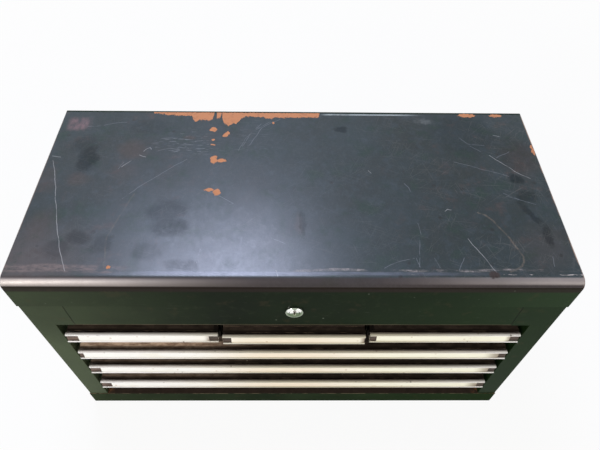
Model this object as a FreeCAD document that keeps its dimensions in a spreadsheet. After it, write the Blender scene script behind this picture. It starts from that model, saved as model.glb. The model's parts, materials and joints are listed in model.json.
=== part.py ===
import FreeCAD, Part
import os
import re
import Sketcher

# A machinist tool chest: a folded steel case with six drawers on runners, and a lift-up lid on a piano hinge.
# X runs to the right, Y to the back and Z up. The origin is the middle of the flat underside.

# Lengths in millimetres, each with what it measures
LENGTHS = [
    # Case
    ("case_width", 657, "outside of the side panels"),
    ("case_depth", 291, "front face to back face"),
    ("post_width", 27.5, "front post"),
    ("sheet", 1, "steel sheet"),
    ("return_width", 12, "inward returns and corner flanges"),
    ("rail_height", 49.2, "front top rail"),
    ("tab_width", 24, "post tab beside the rail"),
    ("tab_drop", 1, "tab below the rail"),
    ("seam_gap", 0.2, "rail end to tab"),
    ("lap_width", 15, "strip behind the rail's end"),
    ("fold_gap", 0.1, "between folded edges that meet"),
    ("pan_height", 33, "bottom pan"),
    ("pan_ledge", 11, "ledge on top of the pan's front"),
    ("floor_flange", 14, "upturned edge of the till floor"),
    ("divider_width", 5, "across a divider"),
    ("divider_lift", 0.5, "divider above the bottom of the top fronts"),
    ("divider_setback", 3, "divider behind the drawer fronts"),
    ("upright_inset", 4, "upright inside the opening"),
    ("upright_width", 20, "along the depth"),
    ("upright_gap", 1.5, "front upright behind the post return"),
    ("rear_upright_inset", 25.5, "rear upright from the back face"),
    ("runner_depth", 11.5, "how far a runner stands off its upright"),
    ("runner_play", 0.3, "below the slide flange"),
    ("runner_headroom", 1.5, "above the slide flange"),
    ("runner_setback", 4, "runner behind the drawer fronts"),
    # Drawers
    ("top_gap", 3, "rail to the top fronts"),
    ("front_gap", 2, "between rows of fronts"),
    ("bottom_gap", 2.5, "lowest front to the pan"),
    ("top_front_height", 50.5, "front of a top drawer"),
    ("second_front_height", 48.5, "front of the second drawer"),
    ("third_front_height", 55, "front of the third drawer"),
    ("bottom_front_height", 73.5, "front of the bottom drawer"),
    ("drawer_gap", 6.5, "front to post at each side"),
    ("divider_gap", 0.6, "front to divider"),
    ("front_setback", 10.5, "front face behind the case front"),
    ("nose_setback", 1.5, "nose of the front behind the case front"),
    ("nose_drop", 1, "top of the nose below the pull's top"),
    ("nose_height", 13, "nose of the front"),
    ("tray_inset", 12.5, "tray side inside the front's end"),
    ("tray_drop", 5, "tray top below the front's top"),
    ("tray_lift", 2, "tray floor above the front's bottom"),
    ("tray_back_gap", 16.5, "tray to back panel"),
    ("slide_width", 10.5, "flange that slides on the runner"),
    ("middle_ajar", 2.5, "how far the middle top drawer stands open"),
    # Pulls and label strips
    ("pull_drop", 16, "pull below the front's top"),
    ("pull_height", 16, "pull"),
    ("pull_depth", 9, "pull in front of the nose"),
    ("pull_sheet", 1.2, "lip and foot of a pull"),
    ("pull_web", 1.1, "sloping web of a pull"),
    ("hook_sheet", 0.8, "hooks that hold the label"),
    ("hook_drop", 2.4, "upper hook"),
    ("toe_rise", 2.4, "lower hook"),
    ("lip_back", 2.5, "slot between nose and lip"),
    ("lip_front", 7, "front of the lip from the nose"),
    ("web_top", 5.3, "top of the web from the nose"),
    ("web_foot", 7.3, "foot of the web from the nose"),
    ("foot_drop", 14, "underside of the foot below the pull's top"),
    ("label_thickness", 0.5, "label strip"),
    ("label_gap", 0.1, "label strip to the web"),
    ("label_drop", 1.5, "label strip below the pull's top"),
    ("left_top_label_left", 15, "label end to pull end"),
    ("left_top_label_right", 12, "label end to pull end"),
    ("middle_top_label_left", 11, "label end to pull end"),
    ("middle_top_label_right", 1, "label end to pull end"),
    ("right_top_label_left", 9, "label end to pull end"),
    ("right_top_label_right", 12, "label end to pull end"),
    ("second_label_left", 6, "label end to pull end"),
    ("second_label_right", 10.5, "label end to pull end"),
    ("third_label_left", 15, "label end to pull end"),
    ("third_label_right", 10, "label end to pull end"),
    ("bottom_label_left", 15.5, "label end to pull end"),
    ("bottom_label_right", 11, "label end to pull end"),
    # Lid
    ("lid_overhang", 1.5, "lid outside the case at the front and sides"),
    ("lid_seam", 0.3, "lid above the case rim"),
    ("lid_height", 51.5, "lid"),
    ("lid_bend", 12, "bend along the lid's front"),
    ("lid_corner", 1.5, "other edges of the lid"),
    ("lid_hem", 5, "inward hem of the lid"),
    # Hinge and rivets
    ("hinge_inset", 28.5, "end of the piano hinge inside the side panel"),
    ("hinge_drop", 0.2, "hinge axis below the case rim"),
    ("leaf_height", 18, "leaf from the hinge axis"),
    ("knuckle_radius", 2.5, "outside of a knuckle"),
    ("knuckle_gap", 0.3, "between knuckles"),
    ("knuckle_room", 0.3, "knuckle to wall and to the other leaf"),
    ("hinge_pin_radius", 1.3, "hinge pin"),
    ("hinge_pin_play", 0.08, "hinge pin in its knuckles"),
    ("leaf_rivet_rise", 11, "leaf rivets from the hinge axis"),
    ("rivet_radius", 1.6, "rivet shank"),
    ("rivet_head_radius", 3.2, "rivet head"),
    ("rivet_head_height", 1.2, "rivet head"),
    ("fit_gap", 0.05, "around fixed shanks and barrels"),
    # Lock and strike
    ("lock_drop", 11.2, "lock axis below the case rim"),
    ("bezel_radius", 11.1, "lock bezel"),
    ("bezel_height", 4.5, "lock bezel in front of the rail"),
    ("bezel_round", 1.6, "rounded edge of the bezel"),
    ("barrel_radius", 9, "lock barrel"),
    ("barrel_length", 18.5, "lock barrel behind the rail's face"),
    ("plug_radius", 6, "lock plug"),
    ("plug_play", 0.08, "plug in the barrel"),
    ("plug_sink", 0.2, "plug face behind the bezel's face"),
    ("keyway_width", 1.4, "keyway"),
    ("keyway_height", 7.5, "keyway"),
    ("keyway_depth", 6, "keyway"),
    ("nut_width", 19.9, "lock nut across its flats"),
    ("nut_height", 4, "lock nut"),
    ("cam_gap", 0.3, "barrel to cam"),
    ("cam_thickness", 2, "lock cam"),
    ("cam_width", 8, "arm of the cam"),
    ("cam_length", 22, "cam from the lock axis"),
    ("cam_hub_radius", 6.5, "round end of the cam"),
    ("stub_radius", 4, "end of the plug that carries the cam"),
    ("cam_screw_radius", 2, "cam screw"),
    ("cam_screw_length", 9, "cam screw in the plug"),
    ("cam_screw_head_radius", 5, "cam screw head"),
    ("cam_screw_head_height", 2, "cam screw head"),
    ("strike_sheet", 2, "strike"),
    ("strike_arm_place", 30, "strike arm from the lock axis"),
    ("strike_reach", 16, "foot of the strike under the cam"),
    ("strike_depth", 10, "strike along the depth"),
    ("strike_room", 0.5, "foot of the strike to the turned cam"),
    ("strike_lift", 2.5, "strike arm above the lid's lower edge"),
    ("strike_arm_height", 16, "upper part of the strike arm"),
    ("strike_plate_width", 20, "plate on the lid's front"),
    ("strike_plate_height", 22, "plate on the lid's front"),
    # Lid stays
    ("stay_radius", 70, "hinge axis to the stay's pivot and to its guide pin"),
    ("stay_rise", 20, "pivot above and guide pin below the hinge axis"),
    ("stay_width", 12, "stay"),
    ("stay_sheet", 2, "stay"),
    ("stay_inset", 4, "stay to side panel"),
    ("stay_side_play", 0.3, "stay to shoulder and head"),
    ("stay_slot_play", 0.3, "guide pin in the stay's slot"),
    ("stay_pivot_play", 0.08, "pivot pin in the stay"),
    ("stay_slot_end", 2, "slot past the guide pin at both limits"),
    ("stay_room", 1.5, "stay in the slots that it passes through"),
    ("stay_pin_radius", 2.5, "pins of the stay"),
    ("stay_shoulder_radius", 4.5, "shoulders of the pins"),
    ("stay_head_radius", 5, "heads of the pins"),
    ("stay_head_height", 1.5, "heads of the pins"),
    # Side handles
    ("handle_height", 215, "handle pivot above the underside"),
    ("bracket_length", 132, "handle bracket"),
    ("bracket_height", 32, "handle bracket"),
    ("bracket_sheet", 1.5, "handle bracket"),
    ("bracket_rivet_place", 30, "bracket rivets from the middle"),
    ("bracket_rivet_rise", 9, "bracket rivets from the pivot's height"),
    ("ear_place", 57, "ear from the middle"),
    ("ear_sheet", 4, "ear"),
    ("ear_reach", 11.5, "ear out of the bracket"),
    ("ear_height", 18, "ear"),
    ("bail_standoff", 7, "bail axis from the side panel"),
    ("bail_radius", 4, "bail rod"),
    ("bail_play", 0.1, "bail in its ears"),
    ("bail_half_width", 50, "bail arm from the middle"),
    ("bail_drop", 35, "grip below the pivot"),
    ("bail_bend", 10, "bends at the grip"),
    ("bail_neck_bend", 6, "bends at the pivot"),
    ("bail_stub", 8, "straight end in the ear"),
    # Cuts
    ("overrun", 1, "how far a cut runs past its piece"),
]

# Counts, shares, and angles in degrees
COUNTS = [
    ("divider_share", 0.3176, "middle of a divider, as a share of half the opening"),
    ("knuckle_count", 12, "knuckles of the hinge"),
    ("leaf_rivet_count", 6, "rivets in each leaf"),
    ("lid_opening", 100, "how far the lid opens"),
]

# Places worked out from the sizes
PLACES = {
    "side_outer": "case_width / 2",
    "side_inner": "side_outer - sheet",
    "front": "-case_depth / 2",
    "back": "case_depth / 2",
    "return_back": "front + return_width",
    "opening_half": "side_outer - post_width",
    "tab_end": "opening_half - tab_width",
    "rail_half": "tab_end - seam_gap",
    # Rows of drawers, from the pan up to the rail
    "bottom_front_bottom": "pan_height + bottom_gap",
    "bottom_front_top": "bottom_front_bottom + bottom_front_height",
    "third_front_bottom": "bottom_front_top + front_gap",
    "third_front_top": "third_front_bottom + third_front_height",
    "second_front_bottom": "third_front_top + front_gap",
    "second_front_top": "second_front_bottom + second_front_height",
    "top_front_bottom": "second_front_top + front_gap",
    "top_front_top": "top_front_bottom + top_front_height",
    "rail_bottom": "top_front_top + top_gap",
    "case_height": "rail_bottom + rail_height",
    "tab_bottom": "rail_bottom - tab_drop",
    "floor_bottom": "rail_bottom + sheet",
    "floor_top": "floor_bottom + sheet",
    "flange_inner": "side_inner - sheet",
    "floor_half": "flange_inner - fold_gap",
    # Drawer fronts, trays and runners
    "drawer_half": "opening_half - drawer_gap",
    "divider_centre": "opening_half * divider_share",
    "divider_inner": "divider_centre - divider_width / 2",
    "divider_outer": "divider_centre + divider_width / 2",
    "middle_drawer_half": "divider_inner - divider_gap",
    "side_drawer_start": "divider_outer + divider_gap",
    "front_face": "front + front_setback",
    "front_back": "front_face + sheet",
    "nose_face": "front + nose_setback",
    "tray_back": "back - sheet - tray_back_gap",
    "upright_web": "opening_half - upright_inset",
    "front_upright": "return_back + upright_gap",
    "rear_upright": "back - rear_upright_inset - upright_width",
    # Hinge
    "hinge_end": "side_outer - hinge_inset",
    "hinge_depth": "back + knuckle_room + knuckle_radius",
    "hinge_height": "case_height - hinge_drop",
    "leaf_face": "back + sheet",
    "leaf_start": "knuckle_radius + knuckle_room",
    "lid_bottom": "case_height + lid_seam",
    "lid_top": "lid_bottom + lid_height",
    "lid_side": "side_outer + lid_overhang",
    "lid_front": "front - lid_overhang",
    "lid_side_inner": "lid_side - sheet",
    # Lock, cam and strike
    "lock_height": "case_height - lock_drop",
    "barrel_end": "front + barrel_length",
    "bezel_face": "front - bezel_height",
    "cam_front": "barrel_end + cam_gap",
    "cam_back": "cam_front + cam_thickness",
    "strike_front": "(cam_front + cam_back) / 2 - strike_depth / 2",
    "strike_back": "strike_front + strike_depth",
    "strike_foot_top": "lock_height - cam_width / 2 - strike_room",
    "strike_foot_bottom": "strike_foot_top - strike_sheet",
    "strike_arm_bottom": "lid_bottom + strike_lift",
    "strike_arm_top": "strike_arm_bottom + strike_arm_height",
    # Stays: the pivot and the guide pin are equally far from the hinge axis, so a straight slot serves
    "stay_depth": "hinge_depth - sqrt(stay_radius * stay_radius - stay_rise * stay_rise)",
    "stay_pivot_height": "hinge_height + stay_rise",
    "stay_guide_height": "hinge_height - stay_rise",
    "stay_outer": "side_inner - stay_inset",
    "stay_inner": "stay_outer - stay_sheet",
    "stay_reach": "2 * stay_radius * sin(asin(stay_rise / stay_radius) + lid_opening / 2 * 1 deg)",
    "stay_slot_top": "stay_pivot_height - 2 * stay_rise + stay_slot_end",
    "stay_slot_bottom": "stay_pivot_height - stay_reach - stay_slot_end",
    "stay_lean": "stay_width / 2 / cos(lid_opening / 2 * 1 deg) + stay_room",
    # Handles
    "bracket_face": "side_outer + bracket_sheet",
    "bail_axis": "side_outer + bail_standoff",
    "bail_grip_height": "handle_height - bail_drop",
    "bail_neck": "bail_half_width + bail_neck_bend",
}

# Drawers: name, left end, right end, row, how far it stands open, name of its label's end gaps
DRAWERS = [
    ("left_top_drawer", "-drawer_half", "-side_drawer_start", "top", "0", "left_top"),
    ("middle_top_drawer", "-middle_drawer_half", "middle_drawer_half", "top", "middle_ajar", "middle_top"),
    ("right_top_drawer", "side_drawer_start", "drawer_half", "top", "0", "right_top"),
    ("second_drawer", "-drawer_half", "drawer_half", "second", "0", "second"),
    ("third_drawer", "-drawer_half", "drawer_half", "third", "0", "third"),
    ("bottom_drawer", "-drawer_half", "drawer_half", "bottom", "0", "bottom"),
]

doc = FreeCAD.newDocument("tool_chest")
sizes = doc.addObject("Spreadsheet::Sheet", "Sizes")
for row, (name, value, note) in enumerate(LENGTHS + COUNTS, start=1):
    sizes.set(f"A{row}", name)
    sizes.set(f"B{row}", str(value))
    sizes.set(f"C{row}", note)
    sizes.setAlias(f"B{row}", name)
doc.recompute()

ALIASES = {name for name, value, note in LENGTHS + COUNTS}
NODES = {}


def bound(text):
    """The expression with its places written out and its sizes read from the sheet."""
    def written_out(match):
        word = match.group()
        if word in PLACES:
            return f"({bound(PLACES[word])})"
        if word in ALIASES:
            return f"Sizes.{word}"
        return word
    return re.sub(r"[a-z_]+", written_out, str(text))


def number(text):
    """What the expression comes to."""
    value = sizes.evalExpression(bound(text))
    return float(getattr(value, "Value", value))


def place(item, x="0", y="0", z="0"):
    """Bind where the item stands."""
    for axis, text in (("x", x), ("y", y), ("z", z)):
        if text != "0":
            item.setExpression(f"Placement.Base.{axis}", bound(text))


def block(name, x, y, z):
    """A box between two places along each axis."""
    box = doc.addObject("Part::Box", name)
    box.setExpression("Length", bound(f"({x[1]}) - ({x[0]})"))
    box.setExpression("Width", bound(f"({y[1]}) - ({y[0]})"))
    box.setExpression("Height", bound(f"({z[1]}) - ({z[0]})"))
    place(box, x[0], y[0], z[0])
    return box


def rod(name, axis, centre, span, radius):
    """A cylinder along X or Y through the centre, between the two places in span."""
    item = doc.addObject("Part::Cylinder", name)
    item.setExpression("Radius", bound(radius))
    item.setExpression("Height", bound(f"({span[1]}) - ({span[0]})"))
    if axis == "x":
        item.Placement.Rotation = FreeCAD.Rotation(FreeCAD.Vector(0, 1, 0), 90)
        place(item, span[0], centre[0], centre[1])
    else:
        item.Placement.Rotation = FreeCAD.Rotation(FreeCAD.Vector(1, 0, 0), -90)
        place(item, centre[0], span[0], centre[1])
    return item


def fused(name, pieces):
    item = doc.addObject("Part::MultiFuse", name)
    item.Shapes = pieces
    item.Refine = True
    return item


def cut(name, base, tools):
    item = doc.addObject("Part::Cut", name)
    item.Base = base
    item.Tool = tools[0] if len(tools) == 1 else fused(f"{name}_tools", tools)
    item.Refine = True
    return item


def mirrored(name, source):
    """The same piece on the left side."""
    item = doc.addObject("Part::Mirroring", name)
    item.Source = source
    item.Normal = FreeCAD.Vector(1, 0, 0)
    return item


def grouped(name, pieces):
    """Separate solids that share one node."""
    item = doc.addObject("Part::Compound", name)
    item.Links = pieces
    return item


def node(name, item, solids=1):
    """Keep the item as a sub-part, with the number of solids that it has."""
    item.Label = name
    NODES[name] = (item, solids)
    return item


def node_pair(name, right, solids=1):
    """Keep the right-hand piece and its mirror image as left and right sub-parts."""
    node(f"right_{name}", right, solids)
    node(f"left_{name}", mirrored(f"left_{name}", right), solids)


def outline(body, name, plane, points):
    """A closed sketch whose corners are held at bound distances from the sketch's origin."""
    base = next(item for item in body.Origin.OriginFeatures if item.Role == plane)
    sketch = body.newObject("Sketcher::SketchObject", name)
    sketch.AttachmentSupport = (base, [""])
    sketch.MapMode = "FlatFace"
    corners = [FreeCAD.Vector(number(across), number(up), 0) for across, up in points]
    for index, corner in enumerate(corners):
        sketch.addGeometry(Part.LineSegment(corner, corners[(index + 1) % len(corners)]))
    for index in range(len(corners)):
        sketch.addConstraint(Sketcher.Constraint("Coincident", index, 2, (index + 1) % len(corners), 1))
    for index, (across, up) in enumerate(points):
        for kind, text, value, axis in (
            ("DistanceX", across, corners[index].x, -2),
            ("DistanceY", up, corners[index].y, -1),
        ):
            if text == "0":
                sketch.addConstraint(Sketcher.Constraint("PointOnObject", index, 1, axis))
            else:
                held = sketch.addConstraint(Sketcher.Constraint(kind, -1, 1, index, 1, value))
                sketch.setExpression(f"Constraints[{held}]", bound(text))
    return sketch


def extruded(name, points, x):
    """A body whose outline of (y, z) points runs along X between two places."""
    body = doc.addObject("PartDesign::Body", name)
    sketch = outline(body, f"{name}_outline", "YZ_Plane", points)
    sketch.setExpression("AttachmentOffset.Base.z", bound(x[0]))
    pad = body.newObject("PartDesign::Pad", f"{name}_length")
    pad.Profile = sketch
    pad.setExpression("Length", bound(f"({x[1]}) - ({x[0]})"))
    body.Tip = pad
    return body


def turned(name, points):
    """A body whose outline of (radius, y) points is turned around the Y axis."""
    body = doc.addObject("PartDesign::Body", name)
    sketch = outline(body, f"{name}_outline", "XY_Plane", points)
    turn = body.newObject("PartDesign::Revolution", f"{name}_turn")
    turn.Profile = sketch
    turn.ReferenceAxis = (sketch, ["V_Axis"])
    turn.Angle = 360
    body.Tip = turn
    return body


def rounded(body, name, chosen, radius):
    """Round the body's edges whose centres pass the test."""
    doc.recompute()
    base = body.Tip
    edges = base.Shape.Edges
    names = [f"Edge{index}" for index, edge in enumerate(edges, start=1) if chosen(edge.CenterOfMass)]
    fillet = body.newObject("PartDesign::Fillet", name)
    fillet.Base = (base, names)
    fillet.setExpression("Radius", bound(radius))
    body.Tip = fillet


def near(value, text):
    """Whether a coordinate lies at a place."""
    return abs(value - number(text)) < 0.01 * number("sheet")


def rivet(name, axis, centre, span):
    """A rivet through the plates between two places, with a head at each end."""
    low, high = span
    outer_low = f"{low} - rivet_head_height"
    outer_high = f"{high} + rivet_head_height"
    return fused(name, [
        rod(f"{name}_shank", axis, centre, (outer_low, outer_high), "rivet_radius"),
        rod(f"{name}_low_head", axis, centre, (outer_low, low), "rivet_head_radius"),
        rod(f"{name}_high_head", axis, centre, (high, outer_high), "rivet_head_radius"),
    ])


def rivet_hole(name, axis, centre, span):
    past = (f"{span[0]} - overrun", f"{span[1]} + overrun")
    return rod(name, axis, centre, past, "rivet_radius + fit_gap")


def leaf_rivet_places():
    """Rivets evenly along the hinge, each in the middle of its share of the length."""
    step = "2 * hinge_end / leaf_rivet_count"
    count = round(number("leaf_rivet_count"))
    return [f"({index} + 0.5 - leaf_rivet_count / 2) * {step}" for index in range(count)]


def bracket_rivet_places():
    return [
        (f"{along} * bracket_rivet_place", f"handle_height + {up} * bracket_rivet_rise")
        for along in (-1, 1)
        for up in (-1, 1)
    ]


def stay_pin(name, height, wall):
    """A pin that stands in from the wall: shoulder, shank through the stay, and head."""
    centre = ("stay_depth", height)
    shoulder = ("stay_outer + stay_side_play", wall)
    head_outer = "stay_inner - stay_side_play"
    head_inner = f"{head_outer} - stay_head_height"
    return fused(name, [
        rod(f"{name}_shank", "x", centre, (head_inner, f"{wall} + sheet"), "stay_pin_radius"),
        rod(f"{name}_shoulder", "x", centre, shoulder, "stay_shoulder_radius"),
        rod(f"{name}_head", "x", centre, (head_inner, head_outer), "stay_head_radius"),
    ])


def stay_pin_hole(name, height, wall):
    span = (f"{wall} - overrun", f"{wall} + sheet + overrun")
    return rod(name, "x", ("stay_depth", height), span, "stay_pin_radius + fit_gap")


# Side panels with their front posts, tabs and rims
def make_side_panels():
    top = ("case_height - sheet", "case_height")
    skin = ("front", "front + sheet")
    panel = fused("side_folds", [
        block("side_wall", ("side_inner", "side_outer"), ("front", "back"), ("sheet", "case_height")),
        block("side_post", ("opening_half", "side_outer"), skin, ("sheet", "case_height")),
        block("side_post_return", ("opening_half", "opening_half + sheet"), ("front", "return_back"),
              ("sheet", "tab_bottom")),
        block("side_tab", ("tab_end", "opening_half + sheet"), skin, ("tab_bottom", "case_height")),
        block("side_tab_return", ("tab_end", "opening_half + sheet"), ("front", "return_back"),
              ("tab_bottom", "tab_bottom + sheet")),
        block("side_lap", ("tab_end - lap_width", "opening_half"), ("front + sheet", "front + 2 * sheet"),
              ("floor_top", "case_height - sheet")),
        block("side_rim", ("side_outer - return_width", "side_outer"), ("front", "back - sheet"), top),
        block("side_front_rim", ("tab_end", "side_outer"), ("front", "return_back"), top),
    ])
    slot_back = "stay_depth + (case_height - stay_guide_height) * tan(lid_opening / 2 * 1 deg) + stay_lean"
    holes = [
        block("side_stay_slot", ("stay_inner - stay_room", "stay_outer + stay_room"),
              ("stay_depth - stay_width / 2 - stay_room", slot_back),
              ("case_height - sheet - overrun", "case_height + overrun")),
        stay_pin_hole("side_guide_hole", "stay_guide_height", "side_inner"),
    ]
    for index, centre in enumerate(bracket_rivet_places()):
        holes.append(rivet_hole(f"side_rivet_hole_{index}", "x", centre, ("side_inner", "side_outer")))
    node_pair("side_panel", cut("right_side_panel", panel, holes))


# Back panel with corner flanges and a rim
def make_back_panel():
    flange = block("back_flange", ("flange_inner", "side_inner"),
                   ("back - return_width - sheet", "back - sheet"), ("sheet", "case_height - sheet"))
    rim_half = "side_outer - return_width - fold_gap"
    panel = fused("back_folds", [
        block("back_wall", ("-side_inner", "side_inner"), ("back - sheet", "back"), ("sheet", "case_height")),
        flange,
        mirrored("back_left_flange", flange),
        block("back_rim", (f"-({rim_half})", rim_half), ("back - return_width - sheet", "back"),
              ("case_height - sheet", "case_height")),
    ])
    holes = [
        rivet_hole(f"back_rivet_hole_{index}", "y", (x, "hinge_height - leaf_rivet_rise"),
                   ("back - sheet", "back"))
        for index, x in enumerate(leaf_rivet_places())
    ]
    node("back_panel", cut("back_panel", panel, holes))


# Bottom pan, outside the panels, with a ledge along its front
def make_bottom_pan():
    pan_side = "side_outer + sheet"
    outer = block("pan_outer", (f"-({pan_side})", pan_side), ("front - sheet", "back + sheet"),
                  ("0", "pan_height"))
    inner = block("pan_inner", ("-side_outer", "side_outer"), ("front", "back"),
                  ("sheet", "pan_height + overrun"))
    ledge = block("pan_front_ledge", ("-opening_half + fold_gap", "opening_half - fold_gap"),
                  ("front - sheet", "front - sheet + pan_ledge"), ("pan_height - sheet", "pan_height"))
    node("bottom_pan", fused("bottom_pan", [cut("pan_walls", outer, [inner]), ledge]))


# Rail above the drawers, which carries the lock
def make_front_top_rail():
    across = ("-rail_half", "rail_half")
    rail = fused("rail_folds", [
        block("rail_face", across, ("front", "front + sheet"), ("rail_bottom", "case_height")),
        block("rail_rim", across, ("front", "return_back"), ("case_height - sheet", "case_height")),
        block("rail_return", across, ("front", "return_back"), ("rail_bottom", "rail_bottom + sheet")),
    ])
    hole = rod("rail_lock_hole", "y", ("0", "lock_height"), ("front - overrun", "front + sheet + overrun"),
               "barrel_radius + fit_gap")
    node("front_top_rail", cut("front_top_rail", rail, [hole]))


# Floor of the till, with upturned edges and slots that the stays pass through
def make_till_floor():
    across = ("-floor_half", "floor_half")
    deep = ("front + sheet", "back - sheet")
    edge = block("floor_side_edge", ("floor_half - sheet", "floor_half"), deep,
                 ("floor_bottom", "floor_top + floor_flange"))
    folds = fused("floor_folds", [
        block("floor_plate", across, deep, ("floor_bottom", "floor_top")),
        edge,
        mirrored("floor_left_edge", edge),
        block("floor_rear_edge", across, ("back - 2 * sheet", "back - sheet"),
              ("floor_bottom", "floor_top + floor_flange")),
    ])
    slot_front = "stay_depth - (stay_guide_height - floor_bottom) * tan(lid_opening / 2 * 1 deg) - stay_lean"
    slot = block("floor_stay_slot", ("stay_inner - stay_room", "stay_outer + stay_room"),
                 (slot_front, "stay_depth + stay_width / 2 + stay_room"),
                 ("floor_bottom - overrun", "floor_top + overrun"))
    node("till_floor", cut("till_floor", folds, [slot, mirrored("floor_left_slot", slot)]))


# Dividers: channels open at the bottom, hung from the till floor
def make_dividers():
    deep = ("front_back + divider_setback", "back - sheet")
    outer = block("divider_outer_block", ("divider_inner", "divider_outer"), deep,
                  ("top_front_bottom + divider_lift", "floor_bottom"))
    inner = block("divider_hollow", ("divider_inner + sheet", "divider_outer - sheet"),
                  (f"{deep[0]} - overrun", f"{deep[1]} + overrun"),
                  ("top_front_bottom + divider_lift - overrun", "floor_bottom - sheet"))
    node_pair("divider", cut("right_divider", outer, [inner]))


# Uprights: channels that stand on the pan, open towards the side panel
def make_uprights():
    for name, start in (("front_upright", "front_upright"), ("rear_upright", "rear_upright")):
        end = f"{start} + upright_width"
        outer = block(f"{name}_outer", ("upright_web", "side_inner"), (start, end), ("sheet", "floor_bottom"))
        hollow = block(f"{name}_hollow", ("upright_web + sheet", "side_inner + overrun"),
                       (f"{start} + sheet", f"{end} - sheet"), ("sheet - overrun", "floor_bottom + overrun"))
        node_pair(name, cut(f"right_{name}", outer, [hollow]))


def runner(name, wall, tip, row):
    """A channel from its wall to its tip, around the slide flange of a row's tray."""
    flange_top = f"({row}_front_top - tray_drop)"
    web = f"{wall} + sheet" if wall == "divider_outer" else f"{wall} - sheet"
    deep = ("front_back + runner_setback", "rear_upright + upright_width")
    low, high = (wall, tip) if wall == "divider_outer" else (tip, wall)
    web_low, web_high = (wall, web) if wall == "divider_outer" else (web, wall)
    lower_top = f"{flange_top} - sheet - runner_play"
    upper_bottom = f"{flange_top} + runner_headroom"
    return fused(name, [
        block(f"{name}_web", (web_low, web_high), deep, (f"{lower_top} - sheet", f"{upper_bottom} + sheet")),
        block(f"{name}_lower_lip", (low, high), deep, (f"{lower_top} - sheet", lower_top)),
        block(f"{name}_upper_lip", (low, high), deep, (upper_bottom, f"{upper_bottom} + sheet")),
    ])


# Runners of each row; the top row also has them on both faces of each divider
def make_runners():
    for row in ("top", "second", "third", "bottom"):
        right = [runner(f"{row}_side_runner", "upright_web", "upright_web - runner_depth", row)]
        if row == "top":
            right.append(runner("divider_inner_runner", "divider_inner", "divider_inner - runner_depth", row))
            right.append(runner("divider_outer_runner", "divider_outer", "divider_outer + runner_depth", row))
        left = [mirrored(f"left_{item.Name}", item) for item in right]
        name = f"{row}_row_runners"
        node(name, grouped(name, right + left), 2 * len(right))


def tray(name, left, right, row, y_shift):
    """A sheet tray with outward flanges along the top of its sides."""
    low, high = f"{left} + tray_inset", f"{right} - tray_inset"
    bottom = f"{row}_front_bottom + tray_lift"
    top = f"{row}_front_top - tray_drop"
    deep = ("front_back", "tray_back")
    outer = block(f"{name}_outer", (low, high), deep, (bottom, top))
    hollow = block(f"{name}_hollow", (f"{low} + sheet", f"{high} - sheet"),
                   (f"{deep[0]} + sheet", f"{deep[1]} - sheet"), (f"{bottom} + sheet", f"{top} + overrun"))
    flange = (f"{top} - sheet", top)
    item = fused(name, [
        cut(f"{name}_walls", outer, [hollow]),
        block(f"{name}_left_slide", (f"{low} - slide_width", f"{low} + sheet"), deep, flange),
        block(f"{name}_right_slide", (f"{high} - sheet", f"{high} + slide_width"), deep, flange),
    ])
    place(item, y=y_shift)
    return item


def drawer_front(name, left, right, row, y_shift):
    """The front sheet, folded out into a nose that carries the pull."""
    nose_top = f"{row}_front_top - pull_drop - nose_drop"
    nose_bottom = f"{nose_top} - nose_height"
    body = extruded(name, [
        ("front_face", f"{row}_front_top"),
        ("front_face", nose_top),
        ("nose_face", nose_top),
        ("nose_face", nose_bottom),
        ("front_face", nose_bottom),
        ("front_face", f"{row}_front_bottom"),
        ("front_back", f"{row}_front_bottom"),
        ("front_back", f"{nose_bottom} + sheet"),
        ("nose_face + sheet", f"{nose_bottom} + sheet"),
        ("nose_face + sheet", f"{nose_top} - sheet"),
        ("front_back", f"{nose_top} - sheet"),
        ("front_back", f"{row}_front_top"),
    ], (left, right))
    place(body, y=y_shift)
    return body


def pull(name, left, right, row, y_shift):
    """An aluminium extrusion: lip, sloping web, toe and foot, with hooks that hold the label."""
    web_back = "-web_foot + pull_web"
    toe_floor = "-pull_height + pull_sheet"
    body = extruded(name, [
        ("-lip_back", "0"),
        ("-lip_front", "0"),
        ("-lip_front", "-hook_drop"),
        ("-lip_front + hook_sheet", "-hook_drop"),
        ("-lip_front + hook_sheet", "-pull_sheet"),
        ("-web_top", "-pull_sheet"),
        ("-web_foot", toe_floor),
        ("-pull_depth + hook_sheet", toe_floor),
        ("-pull_depth + hook_sheet", "-pull_height + toe_rise"),
        ("-pull_depth", "-pull_height + toe_rise"),
        ("-pull_depth", "-pull_height"),
        (web_back, "-pull_height"),
        (web_back, "-foot_drop"),
        ("0", "-foot_drop"),
        ("0", "-foot_drop + pull_sheet"),
        (web_back, "-foot_drop + pull_sheet"),
        ("-web_top + pull_web", "-pull_sheet"),
        ("-lip_back", "-pull_sheet"),
    ], (left, right))
    place(body, y=f"nose_face + {y_shift}", z=f"{row}_front_top - pull_drop")
    return body


def label(name, left, right, row, y_shift):
    """A loose strip that leans against the web, between the hooks."""
    slope = "(web_foot - web_top) / (pull_height - 2 * pull_sheet)"
    bottom_drop = "pull_height - pull_sheet - label_gap"
    top_back = f"-web_top - (label_drop - pull_sheet) * {slope} - label_gap"
    bottom_back = f"-web_top - ({bottom_drop} - pull_sheet) * {slope} - label_gap"
    body = extruded(name, [
        (top_back, "-label_drop"),
        (f"{top_back} - label_thickness", "-label_drop"),
        (f"{bottom_back} - label_thickness", f"-({bottom_drop})"),
        (bottom_back, f"-({bottom_drop})"),
    ], (left, right))
    place(body, y=f"nose_face + {y_shift}", z=f"{row}_front_top - pull_drop")
    return body


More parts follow.
